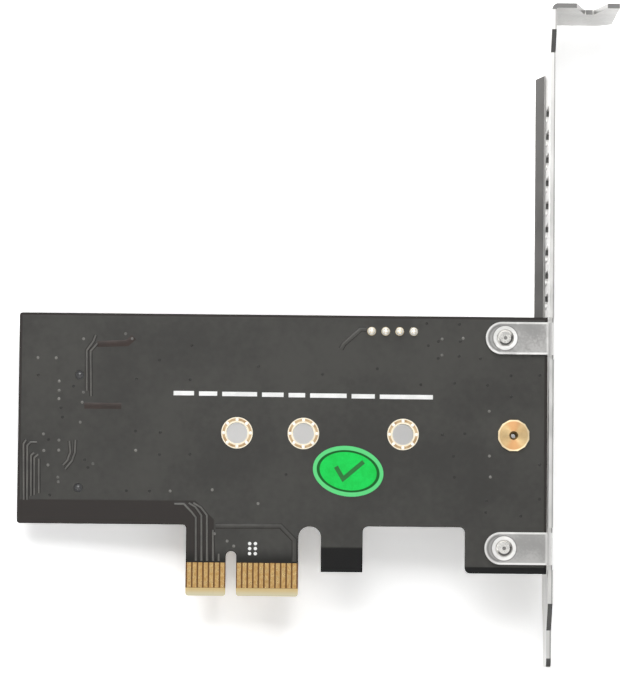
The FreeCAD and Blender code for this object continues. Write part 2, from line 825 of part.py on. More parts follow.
def cut_vents(body):
    """A column of round-ended vent slots across the plate."""
    sketch = make_sketch(body, "YZ_Plane", ZERO)
    pitch = s.vent_width + s.vent_web
    low = FLANGE_TOP - s.vent_drop - pitch * (s.vents - 1)
    end = s.vent_margin + s.vent_width / 2
    slot(sketch, NEAR_EDGE + end, FAR_EDGE - end, low, s.vent_width)
    vent = pocket(body, sketch, OUTER_FACE + CLEAR, reverse=True)
    row_of(body, vent, sketch, "V_Axis", pitch, s.vents)


def turned(body, across, up, profile):
    """Turn a profile of (radius, along Y) corners about an axis parallel to Y."""
    sketch = make_sketch(body, "XY_Plane", up)
    bind(sketch, "AttachmentOffset.Base.x", across)
    outline(sketch, profile)
    feature = body.newObject("PartDesign::Revolution", body.Label + "_turn")
    feature.Profile = sketch
    feature.ReferenceAxis = (sketch, ["V_Axis"])
    feature.Angle = 360
    return feature


def make_screws():
    """Two pan-head screws from the component side into the ears' tapped collars."""
    body = make_body("bracket_screws")
    shank = s.screw_thread / 2
    head = shank + s.screw_rim
    end = NEAR_EDGE - s.collar_height - s.screw_end
    top = COMPONENT_FACE + s.screw_head_height
    for height in EAR_HEIGHTS:
        turned(body, SCREW_X, height, [
            (ZERO, end),
            (shank - s.screw_end_chamfer, end),
            (shank, end + s.screw_end_chamfer),
            (shank, COMPONENT_FACE),
            (head, COMPONENT_FACE),
            (head, COMPONENT_FACE + s.screw_rim_height),
            (s.screw_crown, top),
            (ZERO, top),
        ])
    cross = make_sketch(body, "XZ_Plane", -top)
    half_long, half_wide = s.recess_length / 2, s.recess_width / 2
    for height in EAR_HEIGHTS:
        outline(cross, [
            (SCREW_X - half_long, height - half_wide),
            (SCREW_X - half_wide, height - half_wide),
            (SCREW_X - half_wide, height - half_long),
            (SCREW_X + half_wide, height - half_long),
            (SCREW_X + half_wide, height - half_wide),
            (SCREW_X + half_long, height - half_wide),
            (SCREW_X + half_long, height + half_wide),
            (SCREW_X + half_wide, height + half_wide),
            (SCREW_X + half_wide, height + half_long),
            (SCREW_X - half_wide, height + half_long),
            (SCREW_X - half_wide, height + half_wide),
            (SCREW_X - half_long, height + half_wide),
        ])
    pocket(body, cross, s.recess_depth, reverse=True)


# --- small parts ---------------------------------------------------------------------------

BULK_FIRST = s.bulk_first - s.module_end
CHIP_AXIS = SOCKET_FRONT + s.chip_from_socket
CHIP_PITCH = s.chip_width + s.chip_gap
CHIP_TOP = s.module_axis - s.chip_below_axis
RESISTOR_PITCH = s.chip_width + s.resistor_gap
RESISTOR_AXIS = HEADER_AXIS - s.header_width / 2 - s.resistor_below_header
LAMP_FIRST = s.header_first + s.header_pitch * (s.header_pins - 1) + s.lamp_past_header
LAMP_PITCH = s.chip_width + s.lamp_gap


def chip_row(count, across, up, step_across, step_up):
    """Centres of a row of like chips."""
    return [(across + step_across * k, up + step_up * k) for k in range(int(count.value))]


def make_chips(label, cap_label, height, upright, places):
    """Chip parts: a body between two metal end caps, lying along X or standing along Z."""
    bodies, caps = [], []
    half_width, half_length = s.chip_width / 2, s.chip_length / 2
    middle = s.chip_length - s.chip_cap * 2
    for across, up in places:
        if upright:
            corner = (across - half_width, COMPONENT_FACE, up - half_length + s.chip_cap)
            bodies.append(block("chip", *corner, s.chip_width, height, middle))
            for low in (up - half_length, up + half_length - s.chip_cap):
                corner = (across - half_width, COMPONENT_FACE, low)
                caps.append(block("cap", *corner, s.chip_width, height, s.chip_cap))
        else:
            corner = (across - half_length + s.chip_cap, COMPONENT_FACE, up - half_width)
            bodies.append(block("chip", *corner, middle, height, s.chip_width))
            for left in (across - half_length, across + half_length - s.chip_cap):
                corner = (left, COMPONENT_FACE, up - half_width)
                caps.append(block("cap", *corner, s.chip_cap, height, s.chip_width))
    group(label, bodies)
    group(cap_label, caps)


def make_bulk_capacitors():
    """Moulded capacitor blocks whose strip terminals fold up at both ends."""
    bodies, terminals = [], []
    for index in range(int(s.bulk_count.value)):
        across = BULK_FIRST + (s.bulk_width + s.bulk_gap) * index
        low = s.board_top - s.bulk_drop - s.bulk_length / 2
        bodies.append(block(
            "bulk", across - s.bulk_width / 2, COMPONENT_FACE, low,
            s.bulk_width, s.bulk_height, s.bulk_length,
        ))
        for place in (low - s.terminal_reach, low + s.bulk_length):
            terminals.append(block(
                "terminal", across - s.terminal_width / 2, COMPONENT_FACE, place,
                s.terminal_width, s.terminal_height, s.terminal_reach,
            ))
    group("bulk_capacitors", bodies)
    group("bulk_capacitor_terminals", terminals)


def make_label():
    """A thin oval inspection label on the solder face."""
    ellipse = doc.addObject("Part::Ellipse", "oval")
    bind(ellipse, "MajorRadius", s.label_length / 2)
    bind(ellipse, "MinorRadius", s.label_height / 2)
    ellipse.Placement.Rotation = FreeCAD.Rotation(FreeCAD.Vector(0, 0, 1), s.label_turn.value)
    film = doc.addObject("Part::Extrusion", "inspection_label")
    film.Base = ellipse
    film.DirMode = "Custom"
    film.Dir = FreeCAD.Vector(0, 0, 1)
    film.Solid = True
    bind(film, "LengthFwd", s.label_film)
    film.Placement.Rotation = FreeCAD.Rotation(FreeCAD.Vector(1, 0, 0), 90)
    for axis, term in (("x", s.label_x), ("y", SOLDER_FACE), ("z", s.module_axis - s.label_below_axis)):
        bind(film, "Placement.Base." + axis, term)
    finished["inspection_label"] = film


SHORT_SENSE_FINGER = int(s.fingers_left.value) - 2
FEET_REAR = SOCKET_REAR - s.lead_foot
FEET_FRONT = SOCKET_FRONT + s.lead_foot

make_board()
make_fingers("solder_side_fingers", HALF_BOARD, False, None)
make_fingers("component_side_fingers", -COMPONENT_FACE, True, SHORT_SENSE_FINGER)
make_seat_pads("solder_side_pads", HALF_BOARD, False, SEATS[:-1])
make_seat_pads("component_side_pads", -COMPONENT_FACE, True, SEATS[:-1])
make_socket()
make_leads(
    "m2_rear_leads", SOCKET_REAR + s.socket_step, FEET_REAR, s.lead_rear_rise,
    [(REAR_LOW, s.lead_rear_run), (REAR_HIGH_RUN, s.lead_long_run)],
)
make_leads(
    "m2_front_leads", SOCKET_FRONT, FEET_FRONT, s.lead_front_rise,
    [
        (REAR_LOW + s.lead_pitch / 2, s.lead_front_run),
        (REAR_HIGH_RUN - s.lead_pitch / 2, s.lead_long_run),
    ],
)
make_solder_tabs()
make_standoff()
make_header()
make_header_joints()
make_bracket()
make_screws()
make_bulk_capacitors()
make_chips(
    "ceramic_capacitors", "ceramic_capacitor_caps", s.chip_height, False,
    chip_row(s.chip_count, CHIP_AXIS, CHIP_TOP, ZERO, -CHIP_PITCH),
)
make_chips(
    "resistors", "resistor_caps", s.resistor_height, True,
    chip_row(s.resistor_count, s.header_first, RESISTOR_AXIS, RESISTOR_PITCH, ZERO),
)
make_chips(
    "activity_lamps", "activity_lamp_caps", s.lamp_height, True,
    chip_row(s.lamp_count, LAMP_FIRST, HEADER_AXIS, LAMP_PITCH, ZERO),
)
make_label()
doc.recompute()


def write_parts():
    """Stop on any failed object or shape, then write each node to its own file."""
    failed = [
        item.Name for item in doc.Objects if "Invalid" in item.State or "Error" in item.State
    ]
    for label, item in finished.items():
        if item.Shape.isNull() or not item.Shape.isValid() or not item.Shape.Solids:
            failed.append(label)
    if failed:
        raise RuntimeError("these objects failed: " + ", ".join(failed))
    os.makedirs("parts", exist_ok=True)
    for label, item in finished.items():
        item.Shape.exportStep(os.path.join("parts", label + ".step"))
        print("%-26s solids %2d volume %.2f" % (label, len(item.Shape.Solids), item.Shape.Volume))


write_parts()
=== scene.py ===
"""Looks of an adapter card that carries a storage module in a one-lane slot.

Lengths are in metres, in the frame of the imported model: +X runs along the board to the slot
bracket, +Y from the solder side to the component side, and +Z up from the contact edge.
"""

import json
import logging
import math
from dataclasses import dataclass
from enum import Enum
from functools import reduce
from typing import Protocol

import bpy
import numpy as np
from mathutils import Matrix, Vector


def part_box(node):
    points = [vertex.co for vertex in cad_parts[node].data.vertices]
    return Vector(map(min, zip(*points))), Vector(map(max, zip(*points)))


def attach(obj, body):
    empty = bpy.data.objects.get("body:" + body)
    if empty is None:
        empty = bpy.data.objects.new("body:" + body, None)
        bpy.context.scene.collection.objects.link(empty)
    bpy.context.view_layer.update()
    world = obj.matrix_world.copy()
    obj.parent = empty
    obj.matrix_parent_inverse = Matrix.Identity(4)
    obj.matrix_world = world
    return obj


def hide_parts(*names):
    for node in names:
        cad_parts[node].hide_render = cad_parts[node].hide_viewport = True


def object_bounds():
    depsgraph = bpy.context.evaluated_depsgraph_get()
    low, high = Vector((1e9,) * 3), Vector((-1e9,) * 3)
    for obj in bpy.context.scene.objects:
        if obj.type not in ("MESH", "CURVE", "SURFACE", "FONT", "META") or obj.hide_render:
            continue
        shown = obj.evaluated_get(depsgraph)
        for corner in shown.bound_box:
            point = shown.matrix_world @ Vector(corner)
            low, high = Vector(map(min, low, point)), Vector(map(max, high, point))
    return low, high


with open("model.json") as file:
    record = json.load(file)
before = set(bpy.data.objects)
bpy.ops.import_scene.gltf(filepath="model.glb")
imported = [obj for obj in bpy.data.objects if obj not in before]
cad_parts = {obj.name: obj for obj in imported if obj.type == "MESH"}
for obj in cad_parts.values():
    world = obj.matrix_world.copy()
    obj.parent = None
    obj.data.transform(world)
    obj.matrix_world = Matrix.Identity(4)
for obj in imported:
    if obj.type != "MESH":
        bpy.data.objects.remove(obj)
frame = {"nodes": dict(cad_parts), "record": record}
CAD_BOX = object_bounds()

LOG = logging.getLogger("adapter_card")
MM = 0.001
Colour = tuple[float, float, float]
Point = tuple[float, float]
Parts = tuple[np.ndarray, list[list[int]]]
Feed = bpy.types.NodeSocket | float | tuple


class Side(Enum):
    """A face of the board, by the direction along Y in which it looks."""

    SOLDER = -1
    COMPONENT = 1


# --- places read from the frame ------------------------------------------------------------


def mount_place(name: str) -> Vector:
    """Place of a mount in the row frame.

    Args:
        name: the mount's name in the record.

    Returns:
        Its position in metres.
    """
    mounts = frame["record"]["mounts"]
    return Vector(next(mount["pos_m"] for mount in mounts if mount["name"] == name))


# The nodes of the component side that a via keeps clear of.
COMPONENTS = (
    "m2_socket_housing", "m2_rear_leads", "m2_front_leads", "header_body", "bulk_capacitors",
    "ceramic_capacitors", "resistors", "activity_lamps",
)
BOARD_LOW, BOARD_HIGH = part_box("circuit_board")
SEATS = [mount_place(name) for name in ("seat_30", "seat_42", "seat_60")]
STANDOFF = mount_place("seat_80_thread")
# The upper ear's screw, and the step down from it to the lower one.
EAR_AXIS = Vector((49.2 * MM, 0.0, 47.05 * MM))
EAR_STEP = 38.0 * MM


def face_height(side: Side) -> float:
    """Y of one face of the board."""
    return BOARD_LOW.y if side is Side.SOLDER else BOARD_HIGH.y


# --- meshes --------------------------------------------------------------------------------


def make_piece(
    name: str,
    points: np.ndarray,
    faces: list[list[int]],
    material: bpy.types.Material,
    slot: str,
    smooth_angle: float = math.radians(35),
) -> bpy.types.Object:
    """Make a finished piece that rides on the card.

    Args:
        name: the piece's name.
        points: its vertices, one row each.
        faces: vertex numbers of each face, anticlockwise from outside.
        material: its finish.
        slot: the record's material slot that the finish belongs to; not used.
        smooth_angle: faces that meet at less than this look smooth.

    Returns:
        The new object, at the origin.
    """
    mesh = bpy.data.meshes.new(name)
    mesh.from_pydata(points.tolist(), [], faces)
    mesh.materials.append(material)
    mesh.polygons.foreach_set("use_smooth", np.ones(len(mesh.polygons), dtype=bool))
    mesh.set_sharp_from_angle(angle=smooth_angle)
    mesh.update()
    piece = bpy.data.objects.new(name, mesh)
    bpy.context.scene.collection.objects.link(piece)
    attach(piece, "root")
    LOG.info("%s: %d vertices, %d faces", name, len(points), len(faces))
    return piece


def tube_faces(rings: int, count: int) -> list[list[int]]:
    """Faces of a tube of rings with a flat cap at both ends.

    Ring r, vertex c is number r * count + c, and each side face joins (r, c), (r, c + 1),
    (r + 1, c + 1) and (r + 1, c).

    Args:
        rings: number of rings along the tube.
        count: vertices in each ring.

    Returns:
        Vertex numbers of every face.
    """
    ring, place = np.meshgrid(np.arange(rings - 1), np.arange(count), indexing="ij")
    after = (place + 1) % count
    corners = (ring * count + place, ring * count + after)
    corners += ((ring + 1) * count + after, (ring + 1) * count + place)
    faces = np.stack(corners, axis=-1).reshape(-1, 4).tolist()
    faces.append(list(range(count))[::-1])
    faces.append(list(range((rings - 1) * count, rings * count)))
    return faces


def join_parts(parts: list[Parts]) -> Parts:
    """Put several meshes into one.

    Args:
        parts: vertices and faces of each.

    Returns:
        The vertices and faces of all of them together.
    """
    faces, start = [], 0
    for points, own in parts:
        faces += [[start + number for number in face] for face in own]
        start += len(points)
    return np.concatenate([points for points, _ in parts]), faces


def turned_parts(profile: list[Point], centres: list[Point], side: Side, segments: int) -> Parts:
    """Turn one profile about each of several axes that stand on a face of the board.

    The point at ring k and angle a is the centre plus (r_k cos a, r_k sin a) in the face's
    plane, lifted off the face by h_k.

    Args:
        profile: (radius, lift) of each ring, from the face outwards.
        centres: (x, z) of each axis.
        side: the face they stand on.
        segments: vertices round each ring.

    Returns:
        Vertices and faces of all of them.
    """
    radius, lift = np.array(profile).T
    angle = np.arange(segments) * math.tau / segments * -side.value
    across = radius[:, None] * np.cos(angle)
    up = radius[:, None] * np.sin(angle)
    out = np.broadcast_to(face_height(side) + side.value * lift[:, None], across.shape)
    one = np.stack((across, out, up), axis=-1).reshape(-1, 3)
    faces = tube_faces(len(profile), segments)
    return join_parts([(one + np.array((x, 0.0, z)), faces) for x, z in centres])


def strip_parts(path: list[Point], width: float, rise: float, slope: float, side: Side) -> Parts:
    """A low ridge with sloping sides that follows a line on a face of the board.

    At each corner the sideways step is the sum of the two runs' normals over one plus their
    dot product, which keeps the ridge's width through the bend.

    Args:
        path: (x, z) of each corner of the line.
        width: width of the ridge's flat top.
        rise: its height over the face.
        slope: sideways reach of each sloping side.
        side: the face it lies on.

    Returns:
        Vertices and faces.
    """
    line = np.array(path, dtype=float)
    run = np.diff(line, axis=0)
    run /= np.linalg.norm(run, axis=1, keepdims=True)
    normal = np.stack((-run[:, 1], run[:, 0]), axis=1)
    before, after = np.vstack((normal[:1], normal)), np.vstack((normal, normal[-1:]))
    step = (before + after) / (1 + np.sum(before * after, axis=1, keepdims=True))
    across = np.array((width / 2 + slope, width / 2, -width / 2, -width / 2 - slope))
    lift = np.array((0.0, rise, rise, 0.0))
    flat = line[:, None, :] + step[:, None, :] * across[None, :, None]
    out = np.broadcast_to(face_height(side) + side.value * lift, flat.shape[:2])
    points = np.stack((flat[..., 0], out, flat[..., 1]), axis=-1).reshape(-1, 3)
    faces = tube_faces(len(line), len(across))
    if side is Side.COMPONENT:
        faces = [face[::-1] for face in faces]
    return points, faces


def ribbon_parts(path: list[Point], thickness: float, width: float, places: np.ndarray) -> Parts:
    """Bent metal strips, all alike, side by side along Z.

    Each strip's two faces lie half the thickness to either side of the path, along its
    normal in the XY plane.

    Args:
        path: (x, y) along the strip's middle.
        thickness: of the metal.
        width: of each strip along Z.
        places: Z of the middle of each strip.

    Returns:
        Vertices and faces of all the strips.
    """
    line = np.array(path, dtype=float)
    run = np.gradient(line, axis=0)
    run /= np.linalg.norm(run, axis=1, keepdims=True)
    offset = np.stack((-run[:, 1], run[:, 0]), axis=1) * thickness / 2
    ring = np.stack((line + offset, line + offset, line - offset, line - offset), axis=1)
    up = np.broadcast_to(np.array((0.5, -0.5, -0.5, 0.5)) * width, ring.shape[:2])
    one = np.concatenate((ring, up[..., None]), axis=-1).reshape(-1, 3)
    faces = tube_faces(len(line), 4)
    return join_parts([(one + np.array((0.0, 0.0, z)), faces) for z in places])


# --- shader helpers ------------------------------------------------------------------------


class Graph:
    """A node tree, with short calls for the nodes that the finishes use."""

    def __init__(self, tree: bpy.types.NodeTree) -> None:
        """Keep the tree that the nodes go into."""
        self.tree = tree

    def feed(self, socket: bpy.types.NodeSocket, value: Feed) -> None:
        """Link a socket, or set its own value.

        Args:
            socket: the input socket.
            value: another node's output, a number, or a colour or vector.
        """
        if isinstance(value, bpy.types.NodeSocket):
            self.tree.links.new(value, socket)
        elif socket.type == "RGBA":
            socket.default_value = (*value, 1.0)
        else:
            socket.default_value = value

    def node(self, kind: str, feeds: dict | None = None, **settings: object) -> bpy.types.Node:
        """Add a node.

        Args:
            kind: the end of its type name, after ShaderNode.
            feeds: what goes into its input sockets, by name or number.
            settings: its own properties.

        Returns:
            The new node.
        """
        made = self.tree.nodes.new("ShaderNode" + kind)
        for name, value in settings.items():
            setattr(made, name, value)
        for key, value in (feeds or {}).items():
            self.feed(made.inputs[key], value)
        return made

    def math(self, operation: str, *values: Feed) -> bpy.types.NodeSocket:
        """Work out one number from others."""
        return self.node("Math", dict(enumerate(values)), operation=operation).outputs[0]

    def minus(self, first: Feed, second: Feed) -> bpy.types.NodeSocket:
        """The first number less the second."""
        return self.math("SUBTRACT", first, second)

    def times(self, *values: Feed) -> bpy.types.NodeSocket:
        """The product of all the numbers."""
        return reduce(lambda first, second: self.math("MULTIPLY", first, second), values)

    def length(self, sideways: Feed, upwards: Feed) -> bpy.types.NodeSocket:
        """Length of a step with these two parts, the root of the sum of their squares."""
        square = self.math("MULTIPLY_ADD", sideways, sideways, self.times(upwards, upwards))
        return self.math("SQRT", square)

    def ramp(
        self, value: Feed, low: float, high: float, start: float = 0.0, end: float = 1.0
    ) -> bpy.types.NodeSocket:
        """Go smoothly from start to end while a value goes from low to high."""
        feeds = {0: value, 1: low, 2: high, 3: start, 4: end}
        return self.node("MapRange", feeds, interpolation_type="SMOOTHSTEP").outputs[0]

    def window(self, value: Feed, low: float, high: float, soft: float) -> bpy.types.NodeSocket:
        """1 where a value lies between two limits, with soft ends."""
        rises = self.ramp(value, low - soft, low + soft)
        return self.times(rises, self.ramp(value, high - soft, high + soft, 1.0, 0.0))

    def blend(self, factor: Feed, first: Feed, second: Feed) -> bpy.types.NodeSocket:
        """Go from the first colour to the second as the factor goes from 0 to 1."""
        return self.node("Mix", {0: factor, 6: first, 7: second}, data_type="RGBA").outputs[2]

    def place(self) -> bpy.types.NodeSocket:
        """Object coordinates."""
        return self.node("TexCoord").outputs["Object"]

    def normal(self) -> tuple[bpy.types.NodeSocket, ...]:
        """The X, Y and Z of the direction that the surface faces."""
        return self.axes(self.node("NewGeometry").outputs["Normal"])

    def axes(self, vector: Feed) -> tuple[bpy.types.NodeSocket, ...]:
        """The X, Y and Z of a vector."""
        return tuple(self.node("SeparateXYZ", {0: vector}).outputs)

    def bump(self, height: Feed, depth: float, strength: float = 1.0) -> bpy.types.NodeSocket:
        """A normal tilted by a height map, whose full height is depth."""
        feeds = {"Height": height, "Distance": depth, "Strength": strength}
        return self.node("Bump", feeds).outputs[0]


def make_group(
    name: str, inputs: dict[str, Feed], outputs: dict[str, str]
) -> tuple[bpy.types.NodeTree, Graph, bpy.types.NodeOutputs, bpy.types.Node]:
    """Start a shader node group.

    Args:
        name: the group's name.
        inputs: each input's name and default, a number, a vector or a colour.
        outputs: each output's name and socket type.

    Returns:
        The group, its graph, its inputs by name, and its output node.
    """
    tree = bpy.data.node_groups.new(name, "ShaderNodeTree")
    for label, value in inputs.items():
        kind = "NodeSocketFloat" if isinstance(value, float) else "NodeSocketColor"
        socket = tree.interface.new_socket(label, in_out="INPUT", socket_type=kind)
        socket.default_value = value if isinstance(value, float) else (*value, 1.0)
    for label, kind in outputs.items():
        tree.interface.new_socket(label, in_out="OUTPUT", socket_type=kind)
    entry, leave = tree.nodes.new("NodeGroupInput"), tree.nodes.new("NodeGroupOutput")
    return tree, Graph(tree), entry.outputs, leave


def make_mottle_group() -> bpy.types.NodeTree:
    """Two tones that mix in soft patches with a finer speckle over them.

    Returns:
        The group, with the mixed colour and the share of the light tone as outputs.
    """
    inputs = {"Light": (0.6, 0.6, 0.6), "Dark": (0.4, 0.4, 0.4), "Scale": 300.0, "Speckle": 0.3}
    outputs = {"Color": "NodeSocketColor", "Mask": "NodeSocketFloat"}
    finer, middle, reach = 14.0, 0.5, 0.2
    tree, graph, entry, leave = make_group("two tone mottle", inputs, outputs)
    place = graph.place()
    patch = graph.node("TexNoise", {"Vector": place, "Scale": entry["Scale"], "Detail": 3.0})
    fine_scale = graph.times(entry["Scale"], finer)
    fine = graph.node("TexNoise", {"Vector": place, "Scale": fine_scale, "Detail": 2.0})
    speckle = graph.minus(fine.outputs[0], middle)
    mixed = graph.math("MULTIPLY_ADD", speckle, entry["Speckle"], patch.outputs[0])
    mask = graph.ramp(mixed, middle - reach, middle + reach)
    graph.feed(leave.inputs["Mask"], mask)
    graph.feed(leave.inputs["Color"], graph.blend(mask, entry["Dark"], entry["Light"]))
    return tree


def make_grain_group() -> bpy.types.NodeTree:
    """Fine grain whose size differs along X, Y and Z, such as rolling or moulding marks.

    Returns:
        The group, with the grain's height as its output.
    """
    inputs = dict.fromkeys(GRAIN_AXES, 4000.0)
    tree, graph, entry, leave = make_group("fine grain", inputs, {"Height": "NodeSocketFloat"})
    sizes = graph.node("CombineXYZ", {index: entry[axis] for index, axis in enumerate(GRAIN_AXES)})
    stretched = graph.node("VectorMath", {0: graph.place(), 1: sizes.outputs[0]}, operation="MULTIPLY")
    noise = graph.node("TexNoise", {"Vector": stretched.outputs[0], "Scale": 1.0, "Detail": 4.0})
    graph.feed(leave.inputs["Height"], noise.outputs[0])
    return tree


def make_seat_group() -> bpy.types.NodeTree:
    """Distance from the axis of the nearest module seat.

    Returns:
        The group, with the distance in millimetres as its output.
    """
    tree, graph, _, leave = make_group("seat radius", {}, {"Radius": "NodeSocketFloat"})
    across, _, up = graph.axes(graph.place())
    nearest = None
    for seat in (*SEATS, STANDOFF):
        reach = graph.length(graph.minus(across, seat.x), graph.minus(up, seat.z))
        nearest = reach if nearest is None else graph.math("MINIMUM", nearest, reach)
    graph.feed(leave.inputs["Radius"], graph.math("DIVIDE", nearest, MM))
    return tree


GRAIN_AXES = ("Along X", "Along Y", "Along Z")
MOTTLE, GRAIN, SEAT_RADIUS = make_mottle_group(), make_grain_group(), make_seat_group()


def use_group(graph: Graph, tree: bpy.types.NodeTree, feeds: dict[str, Feed]) -> bpy.types.NodeOutputs:
    """Place a node group.

    Args:
        graph: the nodes that it joins.
        tree: the group.
        feeds: what goes into its inputs, by name.

    Returns:
        Its outputs by name.
    """
    made = graph.node("Group", node_tree=tree)
    for key, value in feeds.items():
        graph.feed(made.inputs[key], value)
    return made.outputs


def use_mottle(
    graph: Graph, light: Colour, dark: Colour, scale: float, speckle: float = 0.3
) -> bpy.types.NodeOutputs:
    """Place the mottle with its two tones and its size."""
    feeds = {"Light": light, "Dark": dark, "Scale": scale, "Speckle": speckle}
    return use_group(graph, MOTTLE, feeds)


def use_grain(graph: Graph, *sizes: float) -> bpy.types.NodeSocket:
    """Place the grain with its sizes along X, Y and Z, and return its height."""
    return use_group(graph, GRAIN, dict(zip(GRAIN_AXES, sizes)))["Height"]


def new_material(name: str) -> tuple[bpy.types.Material, Graph, bpy.types.Node]:
    """Start a material.

    Args:
        name: its name.

    Returns:
        The material, its graph, and its Principled shader.
    """
    material = bpy.data.materials.new(name)
    material.use_nodes = True
    return material, Graph(material.node_tree), material.node_tree.nodes["Principled BSDF"]


def dress(shader: bpy.types.Node, graph: Graph, colour: Feed, roughness: Feed, normal: Feed) -> None:
    """Feed a shader what changes over its surface.

    Args:
        shader: the Principled shader.
        graph: the material's nodes.
        colour: for its base.
        roughness: for its gloss.
        normal: from a Bump node.
    """
    graph.feed(shader.inputs["Base Color"], colour)
    graph.feed(shader.inputs["Roughness"], roughness)
    graph.feed(shader.inputs["Normal"], normal)


# --- finishes ------------------------------------------------------------------------------


@dataclass(frozen=True)
class Metal:
    """A metal with two close tones, uneven gloss and fine grain."""

    name: str
    light: Colour
    dark: Colour
    roughness: float
    unevenness: float
    grain: tuple[float, float, float]
    depth: float
    patches: float = 250.0
    metal: float = 1.0

    def build(self) -> bpy.types.Material:
        """Make the material.

        Returns:
            The new material.
        """
        material, graph, shader = new_material(self.name)
        tones = use_mottle(graph, self.light, self.dark, self.patches)
        low, high = self.roughness - self.unevenness, self.roughness + self.unevenness
        rough = graph.ramp(tones["Mask"], 0.0, 1.0, high, low)
        shader.inputs["Metallic"].default_value = self.metal
        dress(shader, graph, tones["Color"], rough, graph.bump(use_grain(graph, *self.grain), self.depth))
        return material


@dataclass(frozen=True)
class Moulding:
    """A plastic, resin, ceramic or ink with two close tones and a moulded grain."""

    name: str
    light: Colour
    dark: Colour
    roughness: float
    unevenness: float = 0.08
    grain: float = 6000.0
    depth: float = 0.01 * MM
    patches: float = 400.0
    coat: float = 0.0
    gloss: float = 0.5

    def build(self) -> bpy.types.Material:
        """Make the material.

        Returns:
            The new material.
        """
        material, graph, shader = new_material(self.name)
        tones = use_mottle(graph, self.light, self.dark, self.patches)
        low, high = self.roughness - self.unevenness, self.roughness + self.unevenness
        rough = graph.ramp(tones["Mask"], 0.0, 1.0, high, low)
        shader.inputs["Coat Weight"].default_value = self.coat
        shader.inputs["Specular IOR Level"].default_value = self.gloss
        normal = graph.bump(use_grain(graph, *[self.grain] * 3), self.depth)
        dress(shader, graph, tones["Color"], rough, normal)
        return material


